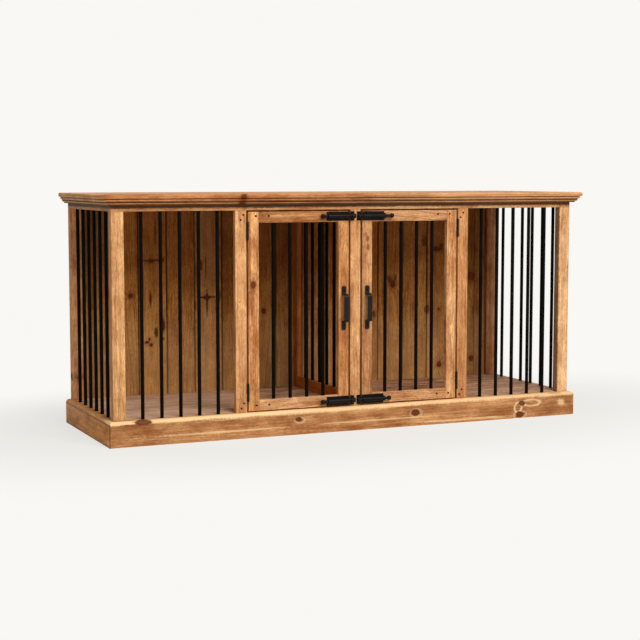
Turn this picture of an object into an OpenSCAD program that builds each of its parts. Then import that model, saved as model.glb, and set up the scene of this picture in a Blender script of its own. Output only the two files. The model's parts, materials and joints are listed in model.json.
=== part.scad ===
// Double pet crate in stained pine with black steel bars.
// Millimetres, +Z up, front towards -Y. The origin is the middle of the box around the
// whole crate, on the floor.

/* [Overall] */
// Width across the corner posts
frame_w = 1824; // [1760:4:2000]
// Depth across the corner posts
frame_d = 582; // [500:2:700]
// Height from the floor to the top
overall_h = 864; // [760:2:1000]

/* [Base] */
// Height of the base rails, the plinth and the floor
base_h = 89; // [80:1:110]
// Thickness of the base rails and top rails
rail_t = 38; // [34:1:45]
// Thickness of the plinth boards
plinth_t = 19; // [16:1:24]
// Radius of the plinth's rounded top edge
plinth_round = 13; // [4:1:15]
// Width of the rails' upper edge beside the floor, which lies in their rebates
rail_lip = 19; // [18:1:24]
// Width of a floor joist
joist_w = 38; // [25:1:50]
// Height of a floor joist
joist_h = 60; // [30:1:60]

/* [Posts and top frame] */
// Width of a corner post, seen from the front
post_w = 45; // [35:1:60]
// Depth of a corner post, front to back
post_d = 32; // [26:1:38]
// Width of the posts that carry the doors
inner_post_w = 42; // [36:1:55]
// Width of the post between the doors
mullion_w = 40; // [36:1:60]
// Thickness of the inner posts, the middle post and the doors
face_t = 19; // [18:1:24]
// Height of the top rails
top_rail_h = 39.5; // [30:0.5:50]
// Width of a bearer under the top boards
bearer_w = 38; // [25:1:50]
// Distance between the bearers
bearer_pitch = 456; // [300:4:600]

/* [Crown moulding] */
// How far the crown stands out from the posts
crown_out = 35; // [32:1:45]
// Height of the crown's nosing
nose_h = 16; // [14:1:18]
// Radius of the nosing's two rounded edges
nose_r = 6; // [3:0.5:7]
// Height of the fillet under the nosing
fillet_h = 2; // [1:0.5:3]
// How far the upper bead stands behind the nosing
bead_back = 6; // [6:0.5:10]
// Height of the upper bead
bead_h = 5.5; // [4:0.5:6]
// Radius of the hollow between the beads
hollow_r = 5; // [4:0.5:6]
// Height of the lower bead
lower_bead_h = 4.5; // [3:0.5:5]
// Radius of the cove at the foot of the crown
cove_r = 5.5; // [3:0.5:6]

/* [Bars] */
// Diameter of a bar
bar_d = 12.7; // [8:0.1:14]
// Distance from the outer face of the frame to the middle of its bars
bar_inset = 10; // [9:0.5:16]
// Depth of a bar's seat in the rail below and above it
bar_seat = 15; // [8:1:20]
// Room above a bar in its upper seat
bar_float = 1; // [0.5:0.5:2]
// Radial clearance of a bar in its seat
bar_clear = 0.1; // [0.05:0.05:0.3]
// Bars in each side bay of the front
side_bars = 5; // [3:1:6]
// Bars in each end
end_bars = 6; // [4:1:7]
// Bars in each door
door_bars = 4; // [2:1:5]
// Bars in the divider
divider_bars = 6; // [4:1:7]

/* [Doors] */
// Width of a door
door_w = 389; // [340:1:420]
// Gap at both upright edges of a door
door_gap = 7; // [6:0.5:9]
// Gap over a door
door_top_gap = 5.5; // [3:0.5:8]
// Gap under a door
door_bottom_gap = 4; // [2:0.5:8]
// Width of a door stile
stile_w = 40; // [34:1:55]
// Height of a door rail
door_rail_h = 39; // [36:1:60]

/* [Boards] */
// Width of a floor board
floor_board_w = 136; // [90:1:180]
// Thickness of the floor boards
floor_board_t = 19; // [15:1:20]
// Width of a top board
top_board_w = 145.5; // [100:0.5:200]
// Thickness of the top boards
top_board_t = 19; // [16:1:22]
// Width that a back board covers
back_board_w = 112.5; // [80:0.5:160]
// Width of the first back board, which is ripped to fit
back_first_w = 106; // [60:1:112]
// Thickness of the back boards
back_board_t = 19; // [15:1:20]
// Depth of the V between two back boards
v_groove = 3; // [1:0.5:4]
// Length of a back board's tongue
tongue_l = 5; // [3:0.5:7]
// Thickness of a back board's tongue
tongue_t = 5; // [4:0.5:6]
// Gap between neighbouring boards
board_gap = 0.4; // [0.2:0.1:1]
// Bevel along the upper edges of floor and top boards
board_bevel = 1; // [0.5:0.5:2]

/* [Divider] */
// Thickness of the divider
divider_t = 19; // [18:1:30]
// Width of the divider's stiles
divider_stile_w = 40; // [30:1:60]
// Height of the divider's rails
divider_rail_h = 44; // [30:1:60]

/* [Hinges] */
// Length of a hinge
hinge_len = 62; // [50:1:80]
// Distance from the door's top or bottom edge to the hinge
hinge_edge = 36; // [25:1:60]
// Thickness of a hinge leaf
leaf_t = 2; // [1.5:0.1:2.5]
// Width of a hinge leaf inside the gap
leaf_w = 17; // [14:0.5:18]
// How far a leaf's flat starts behind the face of the door or post
leaf_in = 0.2; // [0.1:0.1:0.5]
// Knuckles of a hinge, an odd number, so that the post's leaf has one more
knuckles = 5; // [3:2:7]
// Diameter of the knuckles
knuckle_d = 8; // [7:0.5:9]
// Distance between the knuckles and the faces of door and post
knuckle_off = 0.5; // [0.3:0.1:1]
// Diameter of the hinge pin
pin_d = 4.4; // [3:0.1:5]
// Radial clearance of the pin
pin_clear = 0.05; // [0.02:0.01:0.1]
// Gap between neighbouring knuckles
knuckle_gap = 0.3; // [0.2:0.1:0.5]
// Height of the button at each end of the pin
pin_button_h = 2.5; // [1:0.5:4]

/* [Slide bolts] */
// Length of the bolt's plate on the door
bolt_plate_l = 87; // [70:1:100]
// Height of the plates on door and post
bolt_plate_h = 33; // [31:1:36]
// Thickness of the plates
bolt_plate_t = 3; // [2:0.5:4]
// Distance from the door's top or bottom edge to the middle of the bolt
bolt_edge = 18; // [17:0.5:20]
// Diameter of the barrel that guides the rod
barrel_d = 17; // [14:0.5:18]
// Length of the collar at each end of the barrel
collar_l = 6; // [3:0.5:8]
// Height of the collar over the barrel
collar_rise = 1; // [0.5:0.5:1.5]
// Diameter of the sliding rod
rod_d = 10; // [7:0.5:11]
// Radial clearance of the rod
rod_clear = 0.1; // [0.05:0.05:0.3]
// Diameter of the ball at the end of the rod
ball_d = 17; // [12:0.5:18]
// Length of the keeper's plate on the post between the doors
keeper_l = 14.5; // [10:0.5:17]
// Gap between the barrel and the keeper
nose_gap = 2.5; // [1.5:0.5:4]
// Depth to which a thrown rod enters its keeper
keeper_bite = 7.5; // [5:0.5:12]
// Clearance of the ball from the barrel when the rod is thrown
ball_stop = 0.3; // [0.2:0.1:1]
// How far a rod draws back from its thrown place
bolt_travel = 18.5; // [18:0.5:26]

/* [Pull handles] */
// Length of a handle over its feet
handle_l = 159; // [130:1:200]
// Width of the handle's strap
handle_w = 17; // [12:0.5:24]
// How far the handle stands out from the door
handle_out = 27; // [20:1:30]
// Thickness of the strap
strap_t = 4; // [3:0.5:6]
// Length of each foot
handle_foot = 32; // [20:1:40]
// Outer radius of the strap's bends
handle_bend = 12; // [8:0.5:14]
// Inner rounding between a handle's foot and its arm
handle_fillet = 4; // [2:0.5:5]
// Height of the handle's middle over the door's middle
handle_rise = 2.5; // [-60:0.5:60]

/* [Screws] */
// Diameter of a screw head
screw_head_d = 6; // [5:0.5:6.5]
// Height of a screw head
screw_head_h = 1.8; // [1.2:0.1:2]
// Diameter of a screw shank
screw_d = 3.2; // [2.5:0.1:4]
// Length of a screw
screw_l = 14; // [10:1:15]
// Radial clearance round a screw
screw_clear = 0.05; // [0.02:0.01:0.1]
// Diameter of the deep holes in the face of the wood
sink_d = 7.5; // [6.5:0.5:9]
// Depth of the deep holes
sink_depth = 3.5; // [1:0.5:4]
// Distance from a plate's end to its screws
plate_screw_in = 14; // [10:1:18]
// Steel left between a screw head and the edge of its plate
plate_screw_edge = 0.8; // [0.5:0.1:1.5]
// Distance from an inner post's end to its nearest face screw
post_screw_end = 16; // [12:1:30]
// Height between the two face screws at a post's end
post_screw_pitch = 17.5; // [12:0.5:40]
// Sideways step between these two screws
post_screw_step = 10.5; // [0:0.5:12]
// Distance from the hinge stile's inner edge to its face screws
stile_screw_in = 11; // [8:1:16]
// Distance from the hinge stile's inner edge to the face screws in the rails
rail_screw_in = 38; // [30:1:42]
// Distance from a door's lower edge to its lower face screws
door_screw_low = 19.5; // [12:0.5:26]
// Distance from a door's upper edge to its upper face screws
door_screw_high = 15; // [12:0.5:26]

/* [Hidden] */
$fn = 48;
eps = 0.01;
past = 1;

wood = "#c88d52";
wood_light = "#d39c61";
wood_dark = "#a9713e";
steel = "#1d1d20";

// Levels and planes
front_y = (crown_out - frame_d) / 2;
back_y = (crown_out + frame_d) / 2;
side_x = frame_w / 2;
top_under = overall_h - top_board_t;
rail_z = top_under - top_rail_h;
floor_z = base_h - floor_board_t;
wall_y = back_y - back_board_t;

// Places across the front, from the middle outwards
mullion_x = mullion_w / 2;
door_in = mullion_x + door_gap;
door_out = door_in + door_w;
inner_in = door_out + door_gap;
inner_out = inner_in + inner_post_w;
post_in = side_x - post_w;
stile_in = door_in + stile_w;
stile_out = door_out - stile_w;
door_z = base_h + door_bottom_gap;
door_top = rail_z - door_top_gap;
door_y = front_y + face_t / 2;

// Divider planes
divider_front = front_y + face_t;
divider_in_front = divider_front + divider_stile_w;
divider_in_back = wall_y - divider_stile_w;

// Hinges
hinge_x = (door_out + inner_in) / 2;
hinge_y = front_y - knuckle_d / 2 - knuckle_off;
hinge_zs = [door_z + hinge_edge, door_top - hinge_edge - hinge_len];

// Bolts: the rod runs parallel to the door in a barrel above its plate
bolt_zs = [door_z + bolt_edge, door_top - bolt_edge];
rod_y = front_y - bolt_plate_t - barrel_d / 2 + past / 2;
nose_over = (door_gap - nose_gap) / 2;
barrel_in = door_in - nose_over;
barrel_out = door_in + bolt_plate_l;
keeper_out = mullion_x + nose_over;
keeper_in = mullion_x - keeper_l;
rod_tip = keeper_out - keeper_bite;
ball_x = barrel_out + ball_stop + ball_d / 2;
rod_free = keeper_bite + nose_gap;

// Handles
handle_x = door_in + stile_w / 2;
handle_z = (door_z + door_top) / 2 + handle_rise;

// Screws
door_screw_zs = [door_z + door_screw_low, door_top - door_screw_high];
door_screw_xs = [stile_out - rail_screw_in, stile_out + stile_screw_in];
post_screw_x = inner_in + inner_post_w / 2;
post_screw_zs = [base_h + post_screw_end, rail_z - post_screw_end - post_screw_pitch];
hinge_screw_y = front_y + leaf_w / 2;
hinge_screw_zs = [for (z = hinge_zs, k = [1, 3, 5]) z + k * hinge_len / 6];
plate_screw_z = (bolt_plate_h - screw_head_d) / 2 - plate_screw_edge;

// Middles of n rods of diameter d that leave equal clear gaps between two faces
function spaced(n, from, to, d) =
    let (gap = (to - from - n * d) / (n + 1))
    [for (i = [0:n - 1]) from + (i + 1) * gap + (i + 0.5) * d];

// Start and end of each board from one face to another, the last one ripped to fit
function boards(from, to, first, w) =
    let (n = 1 + ceil((to - from - first) / w))
    [for (i = [0:n - 1]) [i == 0 ? from : from + first + (i - 1) * w,
        min(to, from + first + i * w)]];

front_bar_xs = spaced(side_bars, inner_out, post_in, bar_d);
end_bar_ys = spaced(end_bars, front_y + post_d, back_y - post_d, bar_d);
door_bar_xs = spaced(door_bars, stile_in, stile_out, bar_d);
divider_bar_ys = spaced(divider_bars, divider_in_front, divider_in_back, bar_d);

module left_side() {
    mirror([1, 0, 0]) children();
}

// A block between two corners
module block(low, high) {
    translate(low) cube(high - low);
}

// A profile drawn as outwards and up, run along X on the front face
module along_front(from, to, z) {
    translate([from, front_y, z]) mirror([0, 1, 0]) rotate([90, 0, 90])
        linear_extrude(to - from) children();
}

// The same profile run along Y on the right-hand face
module along_side(from, to, z) {
    translate([side_x, to, z]) rotate([90, 0, 0]) linear_extrude(to - from) children();
}

// Everything on one side of the mitre at the right-hand front corner
module mitre(side, reach, z, h) {
    translate([side_x, front_y, z - past]) rotate([0, 0, 45])
        translate([side > 0 ? 0 : -reach, -reach / 2, 0]) cube([reach, reach, h + 2 * past]);
}

module front_mitred(out, z, h) {
    difference() {
        along_front(-side_x - out - past, side_x + out + past, z) children();
        mitre(1, 4 * out, z, h);
        left_side() mitre(1, 4 * out, z, h);
    }
}

module side_mitred(out, z, h) {
    difference() {
        along_side(front_y - out - past, back_y, z) children();
        mitre(-1, 4 * out, z, h);
    }
}

// Plinth
module plinth_profile() {
    r = plinth_round;
    square([plinth_t, base_h - r]);
    square([plinth_t - r, base_h]);
    intersection() {
        translate([plinth_t - r, base_h - r]) circle(r);
        square([plinth_t, base_h]);
    }
}

module plinth_front() {
    color(wood_light) front_mitred(plinth_t, 0, base_h) plinth_profile();
}

module plinth_side() {
    color(wood_light) side_mitred(plinth_t, 0, base_h) plinth_profile();
}

module plinth_left() {
    left_side() plinth_side();
}

module plinth_right() {
    plinth_side();
}

// A bar's seat, bored down from a rail's top face
module seat_below(z) {
    translate([0, 0, z - bar_seat]) cylinder(d = bar_d + 2 * bar_clear, h = bar_seat + past);
}

// A bar's seat, bored up from a rail's bottom face
module seat_above(z) {
    translate([0, 0, z - past])
        cylinder(d = bar_d + 2 * bar_clear, h = bar_seat + bar_float + past);
}

module bar(from, to) {
    translate([0, 0, from - bar_seat]) cylinder(d = bar_d, h = to - from + 2 * bar_seat);
}

module at_front_bars() {
    for (x = front_bar_xs) translate([x, front_y + bar_inset, 0]) children();
}

module at_end_bars() {
    for (y = end_bar_ys) translate([side_x - bar_inset, y, 0]) children();
}

module at_door_bars() {
    for (x = door_bar_xs) translate([x, door_y, 0]) children();
}

module at_divider_bars() {
    for (y = divider_bar_ys) translate([0, y, 0]) children();
}

// Base frame with rebates for the floor
module base_rail_front() {
    color(wood) difference() {
        union() {
            block([-side_x, front_y, 0], [side_x, front_y + rail_t, floor_z]);
            block([-side_x, front_y, 0], [side_x, front_y + rail_lip, base_h]);
        }
        at_front_bars() seat_below(base_h);
        left_side() at_front_bars() seat_below(base_h);
    }
}

module base_rail_back() {
    color(wood) {
        block([-side_x, back_y - rail_t, 0], [side_x, back_y, floor_z]);
        block([-side_x, back_y - rail_lip, 0], [side_x, back_y, base_h]);
    }
}

module base_side_rail() {
    color(wood) difference() {
        union() {
            block([side_x - rail_t, front_y + rail_t, 0], [side_x, back_y - rail_t, floor_z]);
            block([side_x - rail_lip, front_y + rail_t, 0], [side_x, back_y - rail_t, base_h]);
            block([side_x - rail_lip, front_y + rail_lip, floor_z],
                [side_x, back_y - rail_lip, base_h]);
        }
        at_end_bars() seat_below(base_h);
    }
}

module base_side_rails() {
    base_side_rail();
    left_side() base_side_rail();
}

module floor_joists() {
    reach = side_x - rail_t - joist_w;
    color(wood_dark) for (x = [-reach - joist_w, -joist_w / 2, reach])
        block([x, front_y + rail_t, floor_z - joist_h], [x + joist_w, back_y - rail_t, floor_z]);
}

// Cross-section of a flat board with bevelled upper edges, from a to b
module board_section(a, b, z, t) {
    e = board_bevel;
    polygon([[a, z], [b, z], [b, z + t - e], [b - e, z + t], [a + e, z + t], [a, z + t - e]]);
}

// Flat boards side by side, running along X between two side faces
module flat_boards(rows, x, z, t) {
    for (row = rows)
        translate([-x, 0, 0]) rotate([90, 0, 90]) linear_extrude(2 * x)
            board_section(row[0] + board_gap / 2, row[1] - board_gap / 2, z, t);
}

module floor_boards() {
    rows = boards(front_y + rail_lip, back_y - rail_lip, floor_board_w, floor_board_w);
    color(wood_dark) flat_boards(rows, side_x - rail_lip, floor_z, floor_board_t);
}

// Posts
module corner_post(y) {
    color(wood_light) block([post_in, y, base_h], [side_x, y + post_d, rail_z]);
}

module post_front_left() {
    left_side() corner_post(front_y);
}

module post_front_right() {
    corner_post(front_y);
}

module post_back_left() {
    left_side() corner_post(back_y - post_d);
}

module post_back_right() {
    corner_post(back_y - post_d);
}

module inner_post() {
    color(wood_light) block([inner_in, front_y, base_h], [inner_out, front_y + face_t, rail_z]);
}

module post_inner_left() {
    difference() {
        left_side() inner_post();
        left_post_screws() screw_hole(sink_depth);
        left_side() hinge_post_screws() screw_hole(0);
    }
}

module post_inner_right() {
    difference() {
        inner_post();
        right_post_screws() screw_hole(sink_depth);
        hinge_post_screws() screw_hole(0);
    }
}

module mullion() {
    color(wood_light) difference() {
        block([-mullion_x, front_y, base_h], [mullion_x, front_y + face_t, rail_z]);
        keeper_screws() screw_hole(0);
        left_side() keeper_screws() screw_hole(0);
    }
}

// Top frame
module top_rail_front() {
    color(wood) difference() {
        block([-side_x, front_y, rail_z], [side_x, front_y + rail_t, top_under]);
        at_front_bars() seat_above(rail_z);
        left_side() at_front_bars() seat_above(rail_z);
    }
}

module top_rail_back() {
    color(wood) block([-side_x, back_y - rail_t, rail_z], [side_x, back_y, top_under]);
}

module top_side_rail() {
    color(wood) difference() {
        block([side_x - rail_t, front_y + rail_t, rail_z], [side_x, back_y - rail_t, top_under]);
        at_end_bars() seat_above(rail_z);
    }
}

module top_side_rails() {
    top_side_rail();
    left_side() top_side_rail();
}

module top_bearers() {
    color(wood_dark) for (x = [-bearer_pitch, 0, bearer_pitch])
        block([x - bearer_w / 2, front_y + rail_t, rail_z],
            [x + bearer_w / 2, back_y - rail_t, top_under]);
}

module top_boards() {
    rows = boards(front_y, back_y, top_board_w, top_board_w);
    color(wood) flat_boards(rows, side_x, top_under, top_board_t);
}

// Tongued and grooved back boards, their V-joints towards the inside
module back_board(a, b, first, last) {
    v = v_groove;
    low = wall_y + (back_board_t - tongue_t) / 2;
    high = low + tongue_t;
    groove_x = a + tongue_l + board_gap;
    tongue = last ? [] : [[b, low], [b + tongue_l, low], [b + tongue_l, high], [b, high]];
    groove = first ? [] : [[a, high + board_gap], [groove_x, high + board_gap],
        [groove_x, low - board_gap], [a, low - board_gap]];
    translate([0, 0, base_h]) linear_extrude(rail_z - base_h)
        polygon(concat([[a + v, wall_y], [b - v, wall_y], [b, wall_y + v]], tongue,
            [[b, back_y], [a, back_y]], groove, [[a, wall_y + v]]));
}

module back_boards() {
    rows = boards(-post_in, post_in, back_first_w, back_board_w);
    color(wood) for (i = [0:len(rows) - 1])
        back_board(rows[i][0] + board_gap / 2, rows[i][1] - board_gap / 2,
            i == 0, i == len(rows) - 1);
}

// Crown: a nosing with rounded edges over two beads with a hollow between them and a cove
crown_h = nose_h + fillet_h + bead_h + hollow_r + lower_bead_h + cove_r;
crown_z = overall_h - crown_h;

// A bead of a given height whose rounded face reaches outwards to x, its foot at z
module bead(x, z, h) {
    translate([0, z]) square([x - h / 2, h]);
    translate([x - h / 2, z + h / 2]) circle(h / 2);
}

// A quarter-round hollow that ends at x below and widens upwards, its foot at z
module hollow(x, z, r) {
    difference() {
        translate([0, z]) square([x + r, r]);
        translate([x + r, z]) circle(r);
    }
}

module crown_profile() {
    lower_z = cove_r;
    hollow_z = lower_z + lower_bead_h;
    bead_z = hollow_z + hollow_r;
    fillet_z = bead_z + bead_h;
    nose_z = fillet_z + fillet_h;
    bead_x = crown_out - bead_back;
    hollow_x = bead_x - bead_h / 2 - hollow_r;
    nose_in = crown_out - nose_r;
    hollow(hollow_x - lower_bead_h / 2 - cove_r, 0, cove_r);
    bead(hollow_x, lower_z, lower_bead_h);
    hollow(hollow_x, hollow_z, hollow_r);
    bead(bead_x, bead_z, bead_h);
    translate([0, fillet_z]) square([bead_x - bead_h / 2, fillet_h]);
    translate([0, nose_z]) square([nose_in, nose_h]);
    translate([0, nose_z + nose_r]) square([crown_out, nose_h - 2 * nose_r]);
    for (z = [nose_z + nose_r, overall_h - crown_z - nose_r])
        translate([nose_in, z]) circle(nose_r);
}

module crown_front() {
    color(wood_light) front_mitred(crown_out, crown_z, crown_h) crown_profile();
}

module crown_side() {
    color(wood_light) side_mitred(crown_out, crown_z, crown_h) crown_profile();
}

module crown_left() {
    left_side() crown_side();
}

module crown_right() {
    crown_side();
}

// Bars of the frame
module bars_front_right() {
    color(steel) at_front_bars() bar(base_h, rail_z);
}

module bars_front_left() {
    left_side() bars_front_right();
}

module bars_right_end() {
    color(steel) at_end_bars() bar(base_h, rail_z);
}

module bars_left_end() {
    left_side() bars_right_end();
}

// Divider between the two compartments
module divider_stile(y) {
    color(wood_dark) block([-divider_t / 2, y, base_h],
        [divider_t / 2, y + divider_stile_w, rail_z]);
}

module divider_front_stile() {
    divider_stile(divider_front);
}

module divider_back_stile() {
    divider_stile(divider_in_back);
}

module divider_rail(z) {
    block([-divider_t / 2, divider_in_front, z],
        [divider_t / 2, divider_in_back, z + divider_rail_h]);
}

module divider_bottom_rail() {
    color(wood_dark) difference() {
        divider_rail(base_h);
        at_divider_bars() seat_below(base_h + divider_rail_h);
    }
}

module divider_top_rail() {
    color(wood_dark) difference() {
        divider_rail(rail_z - divider_rail_h);
        at_divider_bars() seat_above(rail_z - divider_rail_h);
    }
}

module divider_bars() {
    color(steel) at_divider_bars() bar(base_h + divider_rail_h, rail_z - divider_rail_h);
}

// Doors, drawn on the right and mirrored for the left
module door_hinge_stile() {
    color(wood_light) difference() {
        block([stile_out, front_y, door_z], [door_out, front_y + face_t, door_top]);
        door_screws();
    }
}

module door_latch_stile() {
    color(wood_light) difference() {
        block([door_in, front_y, door_z], [stile_in, front_y + face_t, door_top]);
        door_screws();
    }
}

module door_top_rail() {
    z = door_top - door_rail_h;
    color(wood_light) difference() {
        block([stile_in, front_y, z], [stile_out, front_y + face_t, door_top]);
        at_door_bars() seat_above(z);
        door_screws();
    }
}

module door_bottom_rail() {
    z = door_z + door_rail_h;
    color(wood_light) difference() {
        block([stile_in, front_y, door_z], [stile_out, front_y + face_t, z]);
        at_door_bars() seat_below(z);
        door_screws();
    }
}

module right_door_hinge_stile() {
    door_hinge_stile();
}

module right_door_latch_stile() {
    door_latch_stile();
}

module right_door_top_rail() {
    door_top_rail();
}

module right_door_bottom_rail() {
    door_bottom_rail();
}

module right_door_bars() {
    color(steel) at_door_bars() bar(door_z + door_rail_h, door_top - door_rail_h);
}

module left_door_hinge_stile() {
    left_side() door_hinge_stile();
}

module left_door_latch_stile() {
    left_side() door_latch_stile();
}

module left_door_top_rail() {
    left_side() door_top_rail();
}

module left_door_bottom_rail() {
    left_side() door_bottom_rail();
}

module left_door_bars() {
    left_side() right_door_bars();
}

// One knuckle, its bore and the web that carries it on a leaf at the given side
module knuckle(i, side) {
    h = (hinge_len - (knuckles - 1) * knuckle_gap) / knuckles;
    web = door_gap / 2;
    translate([0, 0, i * (h + knuckle_gap)]) difference() {
        union() {
            cylinder(d = knuckle_d, h = h);
            block([side > 0 ? web - leaf_t : -web, 0, 0],
                [side > 0 ? web : leaf_t - web, knuckle_d / 2 + knuckle_off + leaf_in + eps, h]);
        }
        translate([0, 0, -past]) cylinder(d = pin_d + 2 * pin_clear, h = h + 2 * past);
    }
}

// A leaf with its knuckles; side 1 lies on the post, side -1 on the door
module hinge_leaf(z, side) {
    web = door_gap / 2;
    translate([hinge_x, hinge_y, z]) {
        block([side > 0 ? web - leaf_t : -web, knuckle_d / 2 + knuckle_off + leaf_in, 0],
            [side > 0 ? web : leaf_t - web, knuckle_d / 2 + knuckle_off + leaf_w, hinge_len]);
        for (i = [side > 0 ? 0 : 1 : 2 : knuckles - 1]) knuckle(i, side);
    }
}

module right_frame_leaves() {
    difference() {
        for (z = hinge_zs) hinge_leaf(z, 1);
        hinge_post_screws() screw_hole(0);
    }
}

module hinge_frame_leaves() {
    color(steel) {
        right_frame_leaves();
        left_side() right_frame_leaves();
    }
}

module right_hinge_door_leaves() {
    color(steel) difference() {
        for (z = hinge_zs) hinge_leaf(z, -1);
        door_screws();
    }
}

module left_hinge_door_leaves() {
    left_side() right_hinge_door_leaves();
}

// A pin with a rounded button at each end
module hinge_pin(z) {
    translate([hinge_x, hinge_y, z]) {
        translate([0, 0, -knuckle_gap]) cylinder(d = pin_d, h = hinge_len + 2 * knuckle_gap);
        translate([0, 0, hinge_len + knuckle_gap])
            cylinder(d1 = knuckle_d, d2 = knuckle_d / 2, h = pin_button_h);
        translate([0, 0, -knuckle_gap - pin_button_h])
            cylinder(d1 = knuckle_d / 2, d2 = knuckle_d, h = pin_button_h);
    }
}

module right_hinge_pins() {
    for (z = hinge_zs) hinge_pin(z);
}

module hinge_pins() {
    color(steel) {
        right_hinge_pins();
        left_side() right_hinge_pins();
    }
}

// A barrel on a saddle over its plate, along X; the bore is cut by the caller
module barrel(x0, x1) {
    r = barrel_d / 2;
    translate([x0, rod_y, 0]) rotate([0, 90, 0]) cylinder(r = r, h = x1 - x0);
    block([x0, rod_y, -r], [x1, front_y - bolt_plate_t / 2, r]);
}

module collar(x) {
    translate([x, rod_y, 0]) rotate([0, 90, 0])
        cylinder(r = barrel_d / 2 + collar_rise, h = collar_l);
}

module bolt_plate(x0, x1) {
    block([x0, front_y - bolt_plate_t, -bolt_plate_h / 2], [x1, front_y, bolt_plate_h / 2]);
}

module rod_bore(x0, x1) {
    translate([x0, rod_y, 0]) rotate([0, 90, 0])
        cylinder(d = rod_d + 2 * rod_clear, h = x1 - x0);
}

module bolt_body(z) {
    translate([0, 0, z]) difference() {
        union() {
            bolt_plate(door_in, barrel_out);
            barrel(barrel_in, barrel_out);
            collar(barrel_in);
            collar(barrel_out - collar_l);
        }
        rod_bore(barrel_in - past, barrel_out + past);
        block([barrel_in - past, front_y - bolt_plate_t / 2, -bolt_plate_h],
            [door_in, front_y + past, bolt_plate_h]);
    }
}

module right_door_bolts() {
    color(steel) difference() {
        for (z = bolt_zs) bolt_body(z);
        door_screws();
    }
}

module left_door_bolts() {
    left_side() right_door_bolts();
}

module keeper(z) {
    translate([0, 0, z]) difference() {
        union() {
            bolt_plate(keeper_in, mullion_x);
            barrel(keeper_in, keeper_out);
            collar(keeper_out - collar_l);
        }
        rod_bore(keeper_in - past, keeper_out + past);
        block([mullion_x, front_y - bolt_plate_t / 2, -bolt_plate_h],
            [keeper_out + past, front_y + past, bolt_plate_h]);
    }
}

module right_keepers() {
    difference() {
        for (z = bolt_zs) keeper(z);
        keeper_screws() screw_hole(0);
    }
}

module bolt_keepers() {
    color(steel) {
        right_keepers();
        left_side() right_keepers();
    }
}

// A rod with its ball, drawn back by a given distance from its thrown place
module bolt_rod(z, drawn) {
    color(steel) translate([drawn, rod_y, z]) {
        translate([rod_tip, 0, 0]) rotate([0, 90, 0]) cylinder(d = rod_d, h = ball_x - rod_tip);
        translate([ball_x, 0, 0]) rotate([0, 90, 0]) sphere(d = ball_d);
    }
}

module right_top_bolt_rod() {
    bolt_rod(bolt_zs[1], bolt_travel);
}

module right_bottom_bolt_rod() {
    bolt_rod(bolt_zs[0], rod_free);
}

module left_top_bolt_rod() {
    left_side() bolt_rod(bolt_zs[1], rod_free);
}

module left_bottom_bolt_rod() {
    left_side() bolt_rod(bolt_zs[0], rod_free);
}

// Pull handle: a flat strap bent out from two feet, seen from the side as out and up
handle_arm = handle_l / 2 - handle_foot + strap_t;

module handle_side(inset) {
    r = handle_bend - inset;
    out = handle_out - inset;
    half = handle_arm - inset;
    translate([-past, -half]) square([past + out - r, 2 * half]);
    translate([-past, r - half]) square([past + out, 2 * half - 2 * r]);
    for (s = [-1, 1]) translate([out - r, s * (half - r)]) circle(r);
}

// Rounding of the inner corner between a foot's face and its arm
module handle_root() {
    difference() {
        translate([strap_t - past, handle_arm - past]) square(handle_fillet + past);
        translate([strap_t, handle_arm] + handle_fillet * [1, 1]) circle(handle_fillet);
    }
}

module handle_section() {
    handle_root();
    mirror([0, 1]) handle_root();
    difference() {
        union() {
            handle_side(0);
            translate([0, -handle_l / 2]) square([strap_t, handle_l]);
        }
        handle_side(strap_t);
        translate([-handle_out, -handle_l]) square([handle_out, 2 * handle_l]);
    }
}

// Outline that rounds the ends of the feet, seen from the front
module handle_front() {
    r = handle_w / 3;
    square([handle_w, handle_l - 2 * r], center = true);
    square([handle_w - 2 * r, handle_l], center = true);
    for (sx = [-1, 1], sz = [-1, 1])
        translate([sx * (handle_w / 2 - r), sz * (handle_l / 2 - r)]) circle(r);
}

module door_handle() {
    color(steel) difference() {
        intersection() {
            translate([handle_x - handle_w / 2, front_y, handle_z]) mirror([0, 1, 0])
                rotate([90, 0, 90]) linear_extrude(handle_w) handle_section();
            translate([handle_x, front_y + past, handle_z]) rotate([90, 0, 0])
                linear_extrude(handle_out + 2 * past) handle_front();
        }
        door_screws();
    }
}

module right_door_handle() {
    door_handle();
}

module left_door_handle() {
    left_side() door_handle();
}

// Screw with a flat countersunk head, its face at the origin and its shank along -Z
module screw() {
    translate([0, 0, -screw_head_h])
        cylinder(d1 = screw_d, d2 = screw_head_d, h = screw_head_h);
    translate([0, 0, -screw_l]) cylinder(d = screw_d, h = screw_l - screw_head_h + eps);
}

// Room for a screw whose head lies below the face by a given depth
module screw_hole(depth) {
    c = 2 * screw_clear;
    translate([0, 0, -screw_head_h])
        cylinder(d1 = screw_d + c, d2 = screw_head_d + c, h = screw_head_h);
    translate([0, 0, -screw_l - screw_clear]) cylinder(d = screw_d + c, h = screw_l);
    cylinder(d = depth > 0 ? sink_d : screw_head_d + c, h = depth + past);
}

// Screws that point into the front face, at a depth behind it
module into_front(x, z, depth) {
    translate([x, front_y + depth, z]) rotate([90, 0, 0]) children();
}

module left_post_screws() {
    for (z = post_screw_zs) {
        into_front(-post_screw_x, z, sink_depth) children();
        into_front(post_screw_step - post_screw_x, z + post_screw_pitch, sink_depth) children();
    }
}

module right_post_screws() {
    for (z = post_screw_zs) {
        into_front(post_screw_x - post_screw_step, z, sink_depth) children();
        into_front(post_screw_x, z + post_screw_pitch, sink_depth) children();
    }
}

module hinge_post_screws() {
    for (z = hinge_screw_zs)
        translate([inner_in - leaf_t, hinge_screw_y, z]) rotate([0, -90, 0]) children();
}

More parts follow.
